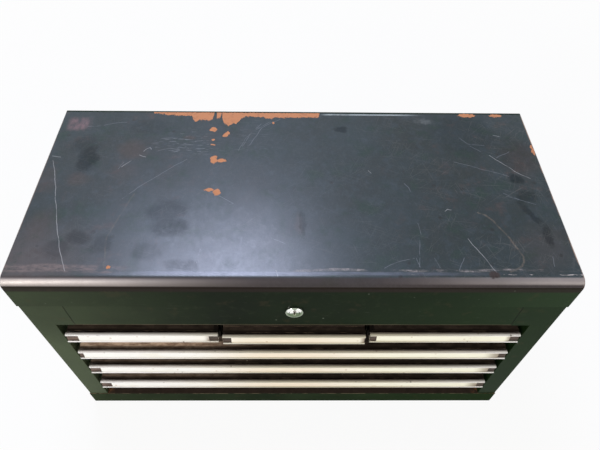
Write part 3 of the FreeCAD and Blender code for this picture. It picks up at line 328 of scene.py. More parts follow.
def lid_enamel():
    """Dark slate enamel, worn and scratched on top, with paint chipped off along the back edge."""
    finish = Finish("lid_top_enamel")
    flat = finish.vector("MULTIPLY", finish.place, (1, 1, 0))
    shaky = finish.wobbled(flat, 0.005, 3.6 * MM, 6)
    cloudy = finish.wobbled(flat, 0.03, 12 * MM, 5)
    steady = finish.wobbled(flat, 0.028, 3 * MM, 2)
    bent = finish.wobbled(flat, 0.1, 9 * MM, 1)
    left, right = finish.x.falling(-0.25, 0.02), finish.x.rising(0.02, 0.26)
    smudge = finish.noise(0.11, 5, 0.6)
    mottle = finish.noise(0.016, 5, 0.65, shift=3)
    blotch = finish.noise(0.035, 5, 0.7, shift=21)
    grain = finish.noise(0.0016, 2, 0.5)
    fine = finish.noise(0.004, 4, 0.7, shift=31, stretch=(1, 1.6, 1))

    # Paint gone down to the primer
    behind = lid_high.y - finish.y
    first, length = BACK_CHIPS[0][0], BACK_CHIPS[-1][0] - BACK_CHIPS[0][0]
    along = (finish.x - first * MM) / (length * MM)
    stops = [((place - first) / length, (depth / CHIP_DEPTH,) * 3 + (1,)) for place, depth in BACK_CHIPS]
    reach = finish.node("ShaderNodeValToRGB", {"stops": stops}, {"Fac": along}, output="Color")
    reach = finish.split(reach, "X") * (CHIP_DEPTH * MM)
    ragged = (finish.noise(0.0045, 5, 0.75, shift=9) - 0.5) * (13 * MM)
    chips = (reach + ragged - behind).rising(0, 0.6 * MM) * reach.rising(2 * MM, 5 * MM)
    chips = chips * (behind + 0.2 * ragged).rising(KEPT_EDGE - 0.5 * MM, KEPT_EDGE + 0.3 * MM)
    chips = chips.most(finish.patches(shaky, CHIPPED_SPOTS, 0.12))

    # Scratches
    broken = finish.noise(0.012, 3, 0.6, shift=5).rising(0.3, 0.5)
    bold = finish.lines(steady, BOLD_SCRATCHES, 1.0) * (0.4 + 0.6 * broken)
    faint = finish.lines(steady, FAINT_SCRATCHES, 0.9) * broken
    tan = finish.lines(steady, TAN_SCRATCHES, 2.8) * (0.1 + 0.9 * broken) * (0.45 + 0.55 * right)
    tan = tan * (0.4 + 0.6 * fine.rising(0.4, 0.6))
    hairs = None
    for turn, level, shift in HAIR_SETS:
        hair = finish.noise(0.0008, 2, 0.4, shift=shift, stretch=(60, 1, 1), turn=turn, place=bent)
        hair = hair.rising(level, level + 0.05)
        hairs = hair if hairs is None else hairs.most(hair)
    hairs = hairs * (0.35 + 0.65 * right) * finish.noise(0.05, 3, 0.6, shift=7).rising(0.4, 0.56)
    scuffs = finish.noise(0.0022, 3, 0.6, shift=8, stretch=(7, 1, 1)).rising(0.56, 0.66)
    scuffs = scuffs * finish.patches(cloudy, SCUFFED_PATCHES, 0.4)

    # Wear along the front bend, and a painted glare line where the bend starts
    edge_y = lid_low.y + LID_BEND
    drift = (finish.noise(0.05, 3, 0.6, shift=16) - 0.5) * (5 * MM)
    dashed = finish.noise(0.008, 4, 0.7, shift=12, stretch=(4, 1, 1))
    rub = finish.band(finish.y + drift, edge_y + 6.5 * MM, 2.6 * MM)
    rub_middle = rub * finish.x.rising(-0.02, 0.02) * (dashed - 0.06 * right).rising(0.42, 0.7)
    rub_left = finish.band(finish.y + 2 * drift, edge_y + 8 * MM, 7 * MM) * finish.x.falling(-0.22, -0.17)
    rub_left = rub_left * finish.noise(0.006, 4, 0.7, shift=18, stretch=(3, 1, 1)).rising(0.35, 0.65)
    second_rub = finish.band(finish.y, edge_y + 1 * MM, 0.9 * MM) * dashed.falling(0.34, 0.42) * right
    # Painted reflection: a bluish glare line along the start of the bend
    painted_glare_line = finish.band(finish.y + 0.3 * drift, edge_y + 2 * MM, 3 * MM)
    painted_glare_line = painted_glare_line * finish.x.rising(-0.25, -0.1) * finish.x.falling(0.02, 0.3)
    painted_glare_line = painted_glare_line * (0.45 + 0.55 * dashed.rising(0.35, 0.6))
    side_line = finish.band(abs(finish.x), lid_high.x - 0.8 * MM, 1.6 * MM) * (0.3 + 0.7 * right)
    side_line = side_line * finish.noise(0.03, 4, 0.6, shift=24).rising(0.4, 0.55)
    back_line = finish.band(behind, 6.5 * MM, 2 * MM) * finish.x.rising(0.035, 0.05) * finish.x.falling(0.14, 0.19)
    back_line = back_line * dashed.rising(0.3, 0.5)

    bend = finish.y.falling(edge_y - 5 * MM, edge_y - 1 * MM)

    # Patches and spots
    stain = finish.band(finish.split(shaky, "X"), STAIN_PLACE[0], 20 * MM)
    stain = stain * finish.band(finish.split(shaky, "Y"), STAIN_PLACE[1], 17 * MM)
    stain = stain * finish.noise(0.008, 4, 0.6, shift=19, stretch=(0.6, 1.6, 1)).rising(0.2, 0.7)
    dull = finish.patches(cloudy, DULL_PATCHES, 0.35)
    brown = finish.patches(cloudy, BROWN_PATCHES, 0.6) * (0.4 + 0.6 * mottle)
    light_smudge = finish.patch(shaky, *LIGHT_SMUDGE, 0.5) * mottle.rising(0.35, 0.6)
    dark_spots = finish.specks(0.012, 0.1, 3) * mottle.rising(0.4, 0.6)
    streaks = 0.6 * finish.lines(cloudy, DARK_STREAKS, 12) * mottle.rising(0.25, 0.6)

    # Colours, from the enamel up
    paint = finish.mixed(tone(16, 27, 28), tone(28, 42, 46), smudge.rising(0.3, 0.75))
    paint = finish.mixed(paint, tone(46, 57, 63), 0.5 * mottle.rising(0.46, 0.76))
    paint = finish.mixed(paint, tone(54, 62, 66), 0.5 * fine.rising(0.5, 0.72))
    near_corner = finish.x.falling(-0.31, -0.2) * finish.y.falling(-0.12, -0.04)
    paint = finish.mixed(paint, tone(96, 82, 78), 0.35 * near_corner)
    paint = finish.mixed(paint, tone(26, 46, 38), 0.6 * blotch.rising(0.5, 0.7))
    paint = finish.mixed(paint, tone(50, 43, 42), 0.6 * blotch.falling(0.32, 0.44) * (left.most(right)))
    paint = finish.mixed(paint, tone(78, 62, 54), 0.55 * brown)
    paint = finish.mixed(paint, tone(10, 13, 15), 0.7 * dark_spots.most(streaks).most(dull))
    paint = finish.mixed(paint, tone(136, 108, 108), 0.5 * stain)
    paint = finish.mixed(paint, tone(116, 120, 118), 0.3 * light_smudge)
    paint = finish.mixed(paint, tone(126, 124, 118), 0.2 * hairs)
    paint = finish.mixed(paint, tone(150, 154, 158), 0.28 * faint.most(scuffs))
    paint = finish.mixed(paint, tone(176, 176, 172), 0.42 * bold)
    paint = finish.mixed(paint, tone(164, 148, 128), 0.2 * tan)
    # The painted glare line, in bluish light
    paint = finish.mixed(paint, tone(126, 130, 146), 0.35 * painted_glare_line)
    paint = finish.mixed(paint, tone(140, 122, 116), 0.42 * rub_left)
    rub_middle_grain = rub_middle * (0.35 + 0.65 * fine.rising(0.35, 0.6))
    paint = finish.mixed(paint, tone(192, 180, 174), 0.5 * rub_middle_grain)
    paint = finish.mixed(paint, tone(214, 204, 194), 0.6 * second_rub)
    paint = finish.mixed(paint, tone(168, 134, 108), 0.6 * side_line)
    paint = finish.mixed(paint, tone(168, 176, 172), 0.6 * back_line)
    kept = behind.falling(3 * MM, 5 * MM)
    paint = finish.mixed(paint, tone(18, 32, 22), kept)
    primer = finish.mixed(BARE_PRIMER, WORN_PRIMER, finish.noise(0.006, 4, 0.6, shift=11).rising(0.5, 0.8))
    paint = finish.mixed(paint, primer, chips)
    cloudy_bend = finish.noise(0.03, 4, 0.6, shift=17, stretch=(4, 1, 1))
    paint = finish.mixed(paint, tone(58, 47, 46), bend * (0.45 + 0.55 * cloudy_bend))
    # Painted highlight along the crest of the front bend: a light stripe that is also made metallic and smoother,
    # strong at the left end and weaker at the right
    left_highlight = finish.upward.rising(0.3, 0.5) * finish.upward.falling(0.85, 0.975)
    left_highlight = left_highlight * finish.x.falling(-0.33, -0.01)
    right_highlight = finish.upward.rising(0.52, 0.7) * finish.upward.falling(0.95, 1)
    right_highlight = 0.58 * right_highlight * finish.x.rising(0.08, 0.32)
    painted_highlight = left_highlight.most(right_highlight) * (0.75 + 0.5 * (cloudy_bend - 0.5)) * (0.85 + 0.3 * (fine - 0.5))
    paint = finish.mixed(paint, tone(198, 188, 182), 0.92 * painted_highlight)
    paint = finish.mixed(paint, tone(40, 27, 25), 0.9 * finish.patch(shaky, *BEND_BLOB, 0.3))

    worn = bold.most(faint).most(tan).most(rub_middle).most(rub_left).most(stain)
    gloss = 0.94 - 0.6 * dull - 0.45 * streaks - 0.7 * chips - 0.3 * worn - 0.12 * mottle - 0.2 * brown
    gloss = gloss - 0.16 * blotch.rising(0.45, 0.75) - 0.22 * fine.rising(0.3, 0.7) - 0.12 * right
    gloss = gloss - 0.5 * kept - 0.25 * bend
    roughness = 0.5 + 0.2 * mottle + 0.2 * chips
    relief = 1 + 0.03 * grain + 0.05 * mottle - 0.7 * chips - 0.25 * worn
    roughness = roughness - 0.14 * painted_highlight
    return finish.surface(paint, roughness, relief, 0.15 * MM, Coat_Weight=gloss, Coat_Roughness=0.28,
                          Specular_IOR_Level=0.05, Metallic=0.8 * painted_highlight)


def case_enamel(name, left_sheen_share=1, right_sheen_share=0.05, brow=None, floor_dirt=0, worn_line=None, worn_folds=0.5, light=0,
                green=0.25, shine=0.04):
    """Green-black enamel with a painted sheen towards the left and right, with dust on what faces up and worn
    folds.

    From just below the brow, a height, the lid's front is painted dark, as shade under its bend. The worn line has
    a height and a width. The other values are shares, and light is added to each of the enamel's three colour
    values."""
    finish = Finish(name)
    cloud = finish.noise(0.09, 5, 0.6)
    mottle = finish.noise(0.012, 5, 0.65, shift=4)
    grain = finish.noise(0.0015, 2)
    up = finish.upward.rising(0.6, 0.95)
    paint = finish.mixed(tone(10 + light, 19 + light, 7 + light), tone(20 + light, 31 + light, 15 + light),
                         cloud.rising(0.3, 0.75))
    paint = finish.mixed(paint, tone(46, 54, 38), 0.35 * mottle.rising(0.5, 0.8))
    # Painted sheen: the enamel is lighter towards the left, most of all low down, and lighter towards the right
    left_sheen = finish.x.falling(-0.37, -0.08) * (0.75 + 0.5 * (cloud - 0.5))
    left_sheen = left_sheen * (0.62 + 0.38 * finish.z.falling(0.2, 0.29))
    paint = finish.mixed(paint, tone(84, 95, 70), left_sheen_share * left_sheen)
    paint = finish.mixed(paint, tone(46, 62, 42), right_sheen_share * finish.x.rising(0.16, 0.34))
    paint = finish.mixed(paint, tone(26, 54, 18), green * finish.x.rising(-0.1, 0.3))

    # Painted shade behind the opening's edge and under the lid's bend
    shade_inside = abs(finish.x).falling(opening_side + 4 * MM, opening_side + 6 * MM)
    shade_inside = shade_inside * finish.y.rising(rail_low.y + 0.5 * MM, rail_low.y + 2 * MM)
    shade_inside = shade_inside * finish.y.falling(rail_low.y + 20 * MM, rail_low.y + 70 * MM)
    shade_inside = shade_inside * finish.z.falling(rail_low.z + 2 * MM, rail_low.z + 8 * MM)
    paint = finish.mixed(paint, tone(26, 21, 18), 0.7 * shade_inside)
    if brow:
        # Painted shade on the lid's front, below its bend
        forward = finish.y.falling(lid_low.y + 4 * MM, lid_low.y + 14 * MM)
        paint = finish.mixed(paint, tone(36, 28, 25),
                             0.85 * forward * finish.z.rising(brow - 8 * MM, brow - 3 * MM))

    # Marks, dust and worn folds
    rubs = finish.noise(0.0012, 2, 0.5, shift=2, stretch=(22, 22, 1), turn=14).rising(0.68, 0.74)
    rubs = rubs * finish.noise(0.06, 3, shift=6).rising(0.5, 0.65)
    paint = finish.mixed(paint, tone(104, 112, 98), 0.35 * rubs)
    brown = finish.noise(0.022, 4, 0.6, shift=15).rising(0.58, 0.72)
    paint = finish.mixed(paint, tone(74, 62, 44), 0.16 * brown)
    paint = finish.mixed(paint, tone(150, 158, 142), 0.6 * finish.specks(0.0045, 0.012, 6))
    film = up * (0.3 + 0.7 * finish.noise(0.02, 5, 0.7, shift=8))
    paint = finish.mixed(paint, tone(92, 84, 74), 0.3 * film)
    if floor_dirt:
        dirt = finish.mixed(tone(34, 29, 25), tone(66, 55, 48), finish.noise(0.01, 5, 0.7, shift=5))
        paint = finish.mixed(paint, dirt, floor_dirt * up)
        corner = abs(finish.x).rising(0.288, 0.3) * mottle.rising(0.4, 0.6)
        paint = finish.mixed(paint, tone(138, 96, 64), 0.6 * corner * up)
    folds = worn_folds * finish.bend_wear() * finish.noise(0.014, 5, 0.7, shift=10).rising(0.46, 0.6)
    if worn_line:
        height, width = worn_line
        line = abs(finish.z - height).falling(0.3 * width, width)
        folds = folds.most(line * finish.noise(0.05, 5, 0.6, shift=13, stretch=(3, 1, 1)).rising(0.3, 0.6))
        seam = abs(abs(finish.x) - rail_high.x).falling(0.6 * MM, 1.6 * MM)
        paint = finish.mixed(paint, tone(14, 18, 12), 0.85 * seam)
    paint = finish.mixed(paint, tone(140, 128, 104), 0.7 * folds)
    roughness = 0.4 + 0.14 * cloud + 0.1 * mottle + 0.3 * film
    relief = 1 + 0.03 * grain + 0.03 * mottle - 0.3 * folds
    return finish.surface(paint, roughness, relief, 0.12 * MM, Specular_IOR_Level=shine)


def front_enamel(name, nose, dust):
    """A drawer front: dark enamel under brown dirt, with pale dust towards the left and painted shade behind its
    pull.

    Above a height, the fronts carry a painted shadow beside the gaps between the top row's fronts."""
    finish = Finish(name)
    mottle = finish.noise(0.01, 5, 0.7, shift=4, stretch=(2, 1, 1))
    fine = finish.noise(0.004, 4, 0.7, shift=9, stretch=(4, 1, 1))
    left = finish.x.falling(-0.3, 0.02)
    paint = finish.mixed(tone(30, 25, 20), tone(58, 49, 42), mottle.rising(0.3, 0.7))
    paint = finish.mixed(paint, tone(74, 62, 52), 0.5 * left * fine.rising(0.4, 0.7))
    pale = finish.mixed(tone(134, 112, 94), tone(196, 174, 152), fine.rising(0.35, 0.65))
    paint = finish.mixed(paint, pale, dust * left.rising(0, 0.6) * mottle.rising(0.1, 0.4))
    # Painted shade on the front just behind its pull's lip
    shade_and_grime = finish.y.falling(nose + 1.5 * MM, nose + 4.5 * MM)
    paint = finish.mixed(paint, tone(22, 16, 12), 0.85 * shade_and_grime)
    folds = finish.bend_wear() * fine.rising(0.5, 0.62)
    paint = finish.mixed(paint, tone(128, 112, 92), 0.35 * folds)
    paint = finish.mixed(paint, tone(160, 148, 130), 0.5 * finish.specks(0.004, 0.02, 5))
    # Painted shadow beside the gaps between the top row's fronts, above a height
    gap_shadow = abs(abs(finish.x) - GAP_PLACE).falling(2.2 * MM, 4.5 * MM)
    gap_shadow = gap_shadow * finish.z.rising(GAP_FOOT, GAP_FOOT + 6 * MM)
    paint = finish.mixed(paint, tone(14, 11, 9), 0.85 * gap_shadow)
    return finish.surface(paint, 0.55 + 0.2 * mottle, 1 + 0.1 * fine, 0.1 * MM, Specular_IOR_Level=0.06)


def tray_paint():
    """Thin grey-black paint, rubbed by what lies in the drawers."""
    finish = Finish("tray_paint_worn")
    cloud = finish.noise(0.07, 5, 0.6)
    fine = finish.noise(0.006, 5, 0.65, shift=3)
    rubs = finish.noise(0.0011, 2, 0.5, shift=2, stretch=(1, 26, 1), turn=8).rising(0.64, 0.72)
    paint = finish.mixed(tone(34, 37, 35), tone(52, 55, 51), cloud.rising(0.3, 0.7))
    paint = finish.mixed(paint, tone(104, 104, 98), 0.5 * rubs * cloud.rising(0.4, 0.6))
    paint = finish.mixed(paint, tone(96, 84, 70), 0.3 * fine.rising(0.45, 0.7))
    folds = finish.bend_wear() * fine.rising(0.4, 0.6)
    paint = finish.mixed(paint, tone(128, 122, 112), 0.6 * folds)
    return finish.surface(paint, 0.42 + 0.2 * fine, 1 + 0.1 * fine - 0.3 * folds, 0.1 * MM,
                          Specular_IOR_Level=0.2)


def pull_aluminium(name, front):
    """Drawn aluminium, yellowed towards the middle; dirt and painted shade sit behind the lip, and dirt where the
    label ends.
    """
    finish = Finish(name)
    drawn = finish.noise(0.0003, 3, 0.6, stretch=(220, 1, 1))
    stripes = finish.noise(0.0012, 3, 0.6, shift=4, stretch=(60, 1, 1))
    dirt = finish.noise(0.01, 5, 0.7, shift=7, stretch=(3, 1, 1))
    up = finish.upward.rising(0.6, 0.95)
    back = finish.y.rising(front + 3.8 * MM, front + 5.2 * MM)
    yellowed = abs(finish.x - 0.05).falling(0.06, 0.3)
    left = finish.x.falling(-0.31, -0.22)
    metal = finish.mixed(tone(255, 253, 250), tone(206, 200, 176), yellowed)
    metal = finish.mixed(metal, tone(214, 206, 198), 0.15 * drawn)
    metal = finish.mixed(metal, tone(176, 164, 152), 0.15 * stripes.rising(0.5, 0.75))
    # Grime and painted shade on the rear of the lip's top, and dirt specks over the rest
    shade_and_grime = (up * back * (0.7 + 0.4 * dirt)).most(0.5 * dirt.rising(0.62, 0.74)).least(1)
    metal = finish.mixed(metal, tone(74, 61, 53), shade_and_grime)
    channel = finish.upward.rising(0.05, 0.1) * finish.upward.falling(0.25, 0.4)
    caked = finish.mixed(tone(50, 40, 31), tone(112, 92, 80), (0.25 + 0.75 * left) * dirt.rising(0.3, 0.6))
    metal = finish.mixed(metal, caked, channel)
    spots = finish.specks(0.006, 0.14, 5) * finish.noise(0.05, 3, shift=9).rising(0.4, 0.6)
    metal = finish.mixed(metal, tone(92, 74, 58), 0.8 * spots)
    dirty = shade_and_grime.most(channel)
    return finish.surface(metal, 0.26 + 0.16 * stripes + 0.35 * dirty, 1 + 0.4 * drawn, 0.03 * MM,
                          Metallic=0.06 - 0.05 * dirty)


def label_white():
    """White label strips, yellowed from the middle to the right, with small tan marks and a brown right end."""
    finish = Finish("label_strip")
    cream = abs(finish.x + 0.01).falling(0.02, 0.15)
    yellow = finish.x.rising(0.02, 0.12)
    cloud = finish.noise(0.03, 4, 0.6, stretch=(3, 1, 1))
    card = finish.mixed(tone(250, 249, 243), tone(248, 246, 222), 0.85 * yellow)
    card = finish.mixed(card, tone(244, 228, 200), 0.8 * cream)
    card = finish.mixed(card, tone(236, 226, 200), 0.5 * cloud.rising(0.5, 0.75))
    marks = finish.specks(0.007, 0.16, 2).most(
        finish.noise(0.004, 3, 0.6, shift=6, stretch=(5, 1, 1)).rising(0.68, 0.76))
    marks = marks * finish.noise(0.06, 3, shift=3).rising(0.42, 0.6)
    card = finish.mixed(card, tone(186, 150, 112), 0.5 * marks)
    right_end = finish.split(finish.node("ShaderNodeTexCoord", output="Generated"), "X").rising(0.96, 1)
    card = finish.mixed(card, tone(112, 88, 66), 0.75 * right_end * cloud.rising(0.25, 0.5))
    card = finish.mixed(card, tone(170, 152, 130), 0.7 * finish.bend_wear())
    return finish.surface(card, 0.42 + 0.15 * cloud, 1 + 0.2 * cloud, 0.05 * MM, Specular_IOR_Level=0.3)


def lock_chrome():
    """Chrome plate with painted reflections: painted highlights on both sides of its middle and painted dark in
    it, dulled by dirt.
    """
    finish = Finish("lock_chrome_dirt_and_painted_highlights")
    low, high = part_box("lock_body")
    centre = (low + high) / 2
    fine = finish.noise(0.0008, 3)
    cloud = finish.noise(0.004, 4, 0.6, shift=3)
    flat = finish.vector("MULTIPLY", finish.place, (1, 0, 1))

    def near(across, up, radius):
        """1 within a radius of a place on the lock's face, all in millimetres."""
        place = (centre.x + across * MM, 0, centre.z + up * MM)
        return finish.vector("DISTANCE", flat, place).falling(0.7 * radius * MM, 1.2 * radius * MM)

    # Painted reflections: a green-grey face with a dark middle, a light rim, a small highlight below, two white
    # highlights above, and dark between them
    metal = finish.mixed(tone(104, 120, 92), tone(84, 74, 66), near(0, 4, 3))
    metal = finish.mixed(metal, tone(206, 214, 200), 0.6 - 0.6 * near(0, 0, 10))
    metal = finish.mixed(metal, tone(206, 206, 176), 0.8 * near(0.3, -3.4, 1.6))
    metal = finish.mixed(metal, tone(255, 255, 252), near(-3.9, 5, 5.2).most(near(4.4, 6, 4.2)))
    metal = finish.mixed(metal, tone(126, 116, 108), 0.8 * near(0.4, 5, 2.4).most(near(0.2, 1.4, 2)))
    dirt = cloud.rising(0.58, 0.72)
    metal = finish.mixed(metal, tone(58, 60, 48), 0.6 * dirt)
    return finish.surface(metal, 0.1 + 0.1 * fine + 0.3 * dirt, 1 + 0.2 * fine, 0.02 * MM,
                          Metallic=1 - 0.4 * dirt)


def plated_steel():
    """Zinc plate, dull and slightly yellow, with freckles of rust."""
    finish = Finish("zinc_plate")
    cloud = finish.noise(0.012, 5, 0.65)
    fine = finish.noise(0.001, 3, shift=5)
    metal = finish.mixed(tone(126, 126, 120), tone(164, 162, 156), cloud)
    rust = finish.specks(0.004, 0.1, 4) * cloud.rising(0.45, 0.6)
    metal = finish.mixed(metal, tone(124, 84, 58), 0.7 * rust)
    return finish.surface(metal, 0.32 + 0.18 * cloud + 0.3 * rust, 1 + 0.3 * fine, 0.03 * MM,
                          Metallic=0.95 - 0.7 * rust)


def handle_steel():
    """Bright plated handles with a few rust freckles."""
    finish = Finish("handle_plate")
    cloud = finish.noise(0.01, 5, 0.65)
    fine = finish.noise(0.0012, 3, shift=5)
    metal = finish.mixed(tone(192, 192, 190), tone(220, 220, 217), cloud)
    rust = finish.specks(0.005, 0.12, 7) * cloud.rising(0.45, 0.65)
    metal = finish.mixed(metal, tone(120, 82, 58), 0.75 * rust)
    folds = finish.bend_wear() * cloud.rising(0.4, 0.6)
    metal = finish.mixed(metal, tone(150, 146, 140), 0.4 * folds)
    return finish.surface(metal, 0.2 + 0.2 * cloud + 0.3 * rust, 1 + 0.3 * fine, 0.03 * MM,
                          Metallic=0.98 - 0.7 * rust)


# Values of the mesh work
SHARP = math.radians(40)
FLAT = math.radians(0.6)
SAME_PLACE = 0.002 * MM
TOUCHING = 0.01 * MM
ROUNDING_STEPS = 2
BEND_STEPS = 14
TOP_STEPS = 12
CORNER_STEPS = 4
END_STEPS = 5
LENGTH_STEPS = 24
LID_DIP = 0.45 * MM
TOP_FACES = 0.35


def coated(piece, material):
    """Give a piece one material in place of all it has."""
    piece.data.materials.clear()
    piece.data.materials.append(material)


def settled(piece):
    """Smooth the piece's round faces and keep its flat ones flat."""
    piece.data.shade_smooth()
    piece.data.set_sharp_from_angle(angle=SHARP)
    weights = piece.modifiers.new("weights", "WEIGHTED_NORMAL")
    weights.keep_sharp = True
    weights.weight = 100


def piece_from(work, name, body, material, slot, *nodes):
    """Turn mesh work into a piece that rides on a body and stands for nodes."""
    mesh = bpy.data.meshes.new(name)
    work.normal_update()
    work.to_mesh(mesh)
    work.free()
    piece = bpy.data.objects.new(name, mesh)
    bpy.context.scene.collection.objects.link(piece)
    coated(piece, material)
    settled(piece)
    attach(piece, body)
    if nodes:
        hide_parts(*nodes)
    return piece


def cleaned(node):
    """Mesh work with a node's flat faces whole again."""
    work = bmesh.new()
    work.from_mesh(frame["nodes"][node].data)
    bmesh.ops.remove_doubles(work, verts=work.verts, dist=SAME_PLACE)
    bmesh.ops.dissolve_limit(work, angle_limit=FLAT, verts=work.verts, edges=work.edges)
    return work


def rounded_off(work, radius):
    """Round the sharp edges and mark the faces that this makes."""
    mark = work.faces.layers.float.new("rounded_edge")
    sharp = [edge for edge in work.edges if edge.is_manifold and edge.calc_face_angle() > SHARP]
    made = bmesh.ops.bevel(work, geom=sharp, offset=radius, segments=ROUNDING_STEPS, profile=0.5,
                           affect="EDGES", clamp_overlap=True)
    for face in made["faces"]:
        face[mark] = 1


def softened(node, radius, material, slot):
    """A copy of a node with its edges rounded, in the node's place."""
    work = cleaned(node)
    rounded_off(work, radius)
    piece_from(work, f"{node}_formed", BODY_OF[node], material, slot, node)


def lid_profile(inset):
    """The lid's outline from its front lower edge over the top to the back, drawn in by the inset."""
    points = [(lid_low.y + inset, lid_low.z)]
    for step in range(BEND_STEPS + 1):
        turn = math.radians(180 - 90 * step / BEND_STEPS)
        points.append((lid_low.y + LID_BEND + (LID_BEND - inset) * math.cos(turn),
                       lid_high.z - LID_BEND + (LID_BEND - inset) * math.sin(turn)))
    first, last = lid_low.y + LID_BEND, lid_high.y - LID_CORNER
    for step in range(1, TOP_STEPS):
        points.append((first + (last - first) * step / TOP_STEPS, lid_high.z - inset))
    for step in range(CORNER_STEPS + 1):
        turn = math.radians(90 - 90 * step / CORNER_STEPS)
        points.append((last + (LID_CORNER - inset) * math.cos(turn),
                       lid_high.z - LID_CORNER + (LID_CORNER - inset) * math.sin(turn)))
    points.append((lid_high.y - inset, lid_low.z))
    return points


def lid_sections():
    """Places along the lid with the inset of the outline there."""
    half = (lid_high.x - lid_low.x) / 2
    turns = [math.radians(90 * step / END_STEPS) for step in range(END_STEPS + 1)]
    end = [(half - LID_CORNER + LID_CORNER * math.sin(turn), LID_CORNER * (1 - math.cos(turn))) for turn in turns]
    middle = [(-1 + 2 * step / LENGTH_STEPS) * (half - LID_CORNER) for step in range(1, LENGTH_STEPS)]
    return [(-x, inset) for x, inset in reversed(end)] + [(x, 0) for x in middle] + end


def dented(vert):
    """Let the lid's flat top sink by up to the dip, in long waves that end at its edges."""
    x, y, z = vert.co
    if z > lid_high.z - TOUCHING and lid_low.y + 14 * MM < y < lid_high.y - 3 * MM:
        edge = min(1, (lid_high.x - abs(x)) / 0.06, (lid_high.y - y) / 0.05)
        wave = 0.5 + 0.3 * math.sin(17 * x + 6 * y) + 0.2 * math.sin(31 * y - 9 * x)
        vert.co.z -= LID_DIP * wave * edge


def make_lid(top_finish, wall_finish, inner_finish):
    """The pressed lid: a skin with its wide front bend, a hem turned in below, and slightly uneven sheet."""
    work = bmesh.new()
    rows = []
    for x, inset in lid_sections():
        rows.append([work.verts.new((x, y, z)) for y, z in lid_profile(inset)])
    for row, following in zip(rows, rows[1:]):
        for index in range(len(row) - 1):
            work.faces.new((row[index], row[index + 1], following[index + 1], following[index]))
    work.faces.new(rows[0][::-1])
    work.faces.new(rows[-1])
    rim = [row[0] for row in rows] + [row[-1] for row in reversed(rows)]
    hem = []
    for vert in rim:
        x = max(lid_low.x + LID_HEM, min(lid_high.x - LID_HEM, vert.co.x))
        y = max(lid_low.y + LID_HEM, min(lid_high.y - LID_HEM, vert.co.y))
        hem.append(work.verts.new((x, y, vert.co.z)))
    for index in range(len(rim)):
        work.faces.new((rim[index - 1], rim[index], hem[index], hem[index - 1]))
    bmesh.ops.remove_doubles(work, verts=work.verts, dist=TOUCHING)
    bmesh.ops.recalc_face_normals(work, faces=work.faces)
    for vert in work.verts:
        dented(vert)
    lid = piece_from(work, "lid_pressing", "lid", top_finish, "case_paint", "lid_shell")
    lid.data.materials.append(wall_finish)
    lid.data.materials.append(inner_finish)
    for face in lid.data.polygons:
        face.material_index = 0 if face.normal.z > TOP_FACES else 1
    wall = lid.modifiers.new("sheet", "SOLIDIFY")
    wall.thickness = SHEET
    wall.offset = -1
    wall.use_even_offset = True
    wall.material_offset = 2
    lid.modifiers.move(len(lid.modifiers) - 1, 0)


def lathe(work, profile, centre, axis, steps=24):
    """Turn (radius, along) points around an axis through the centre, and close both ends."""
    side = Vector((0, 0, 1))
    other = axis.cross(side)
    rings = []
    for radius, along in profile:
        middle = centre + axis * along
        if radius == 0:
            rings.append([work.verts.new(middle)])
            continue
        rings.append([work.verts.new(middle + radius * (side * math.cos(math.tau * step / steps)
                                                        + other * math.sin(math.tau * step / steps)))
                      for step in range(steps)])
    for ring, following in zip(rings, rings[1:]):
        for step in range(steps):
            after = (step + 1) % steps
            corners = [ring[step % len(ring)], ring[after % len(ring)],
                       following[after % len(following)], following[step % len(following)]]
            corners = list(dict.fromkeys(corners))
            if len(corners) > 2:
                work.faces.new(corners)


def islands(work):
    """The separate lumps of some mesh work, as lists of vertices, in the same order at each run."""
    seen = set()
    for start in work.verts:
        if start in seen:
            continue
        seen.add(start)
        lump = [start]
        for vert in lump:
            for edge in vert.link_edges:
                after = edge.other_vert(vert)
                if after not in seen:
                    seen.add(after)
                    lump.append(after)
        yield lump


def make_rivets(node, name, material):
    """Rivets with domed heads, in the places of the plain ones."""
    source = cleaned(node)
    work = bmesh.new()
    for lump in islands(source):
        low = Vector([min(vert.co[axis] for vert in lump) for axis in range(3)])
        high = Vector([max(vert.co[axis] for vert in lump) for axis in range(3)])
        size = high - low
        along = min(range(3), key=lambda axis: size[axis])
        axis = Vector([1.0 if index == along else 0.0 for index in range(3)])
        radius, half = max(size) / 2, size[along] / 2
        dome = [(radius * math.cos(math.radians(turn)),
                 half - RIVET_HEAD + RIVET_HEAD * math.sin(math.radians(turn))) for turn in range(0, 90, 15)]
        upper = [(RIVET_SHANK, half - RIVET_HEAD), (radius * 0.97, half - RIVET_HEAD)] + dome + [(0, half)]
        lower = [(reach, -place) for reach, place in reversed(upper)]
        lathe(work, lower + upper, (low + high) / 2, axis)
    source.free()
    bmesh.ops.recalc_face_normals(work, faces=work.faces)
    piece_from(work, name, BODY_OF[node], material, "plated_steel", node)


# Finishes
LID_TOP = lid_enamel()
LID_WALL = case_enamel("lid_wall_enamel", left_sheen_share=0.75, right_sheen_share=0.5, brow=lid_high.z - LID_BEND, worn_folds=0)
CASE = case_enamel("case_enamel_worn", light=4)
RAIL = case_enamel("rail_enamel_worn", right_sheen_share=0.2, worn_line=(rail_low.z, 1.1 * MM), worn_folds=0)
PAN = case_enamel("pan_enamel_worn", left_sheen_share=0.3, floor_dirt=0.95, worn_folds=0.8, light=27, green=0.3, shine=0)
FRONT_DUST = {"left_top_drawer": 0, "middle_top_drawer": 0.05, "second_drawer": 1.0, "third_drawer": 0.2,
              "bottom_drawer": 0.25}
FRONTS = {name: front_enamel(f"{name}_front_enamel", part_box(f"{name}_pull")[1].y, dust)
          for name, dust in FRONT_DUST.items()}
TRAY = tray_paint()
PULLS = {name: pull_aluminium(f"{name}_aluminium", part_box(f"{name}_pull")[0].y)
         for name in ("left_top_drawer", "middle_top_drawer")}
CARD = label_white()
CHROME = lock_chrome()
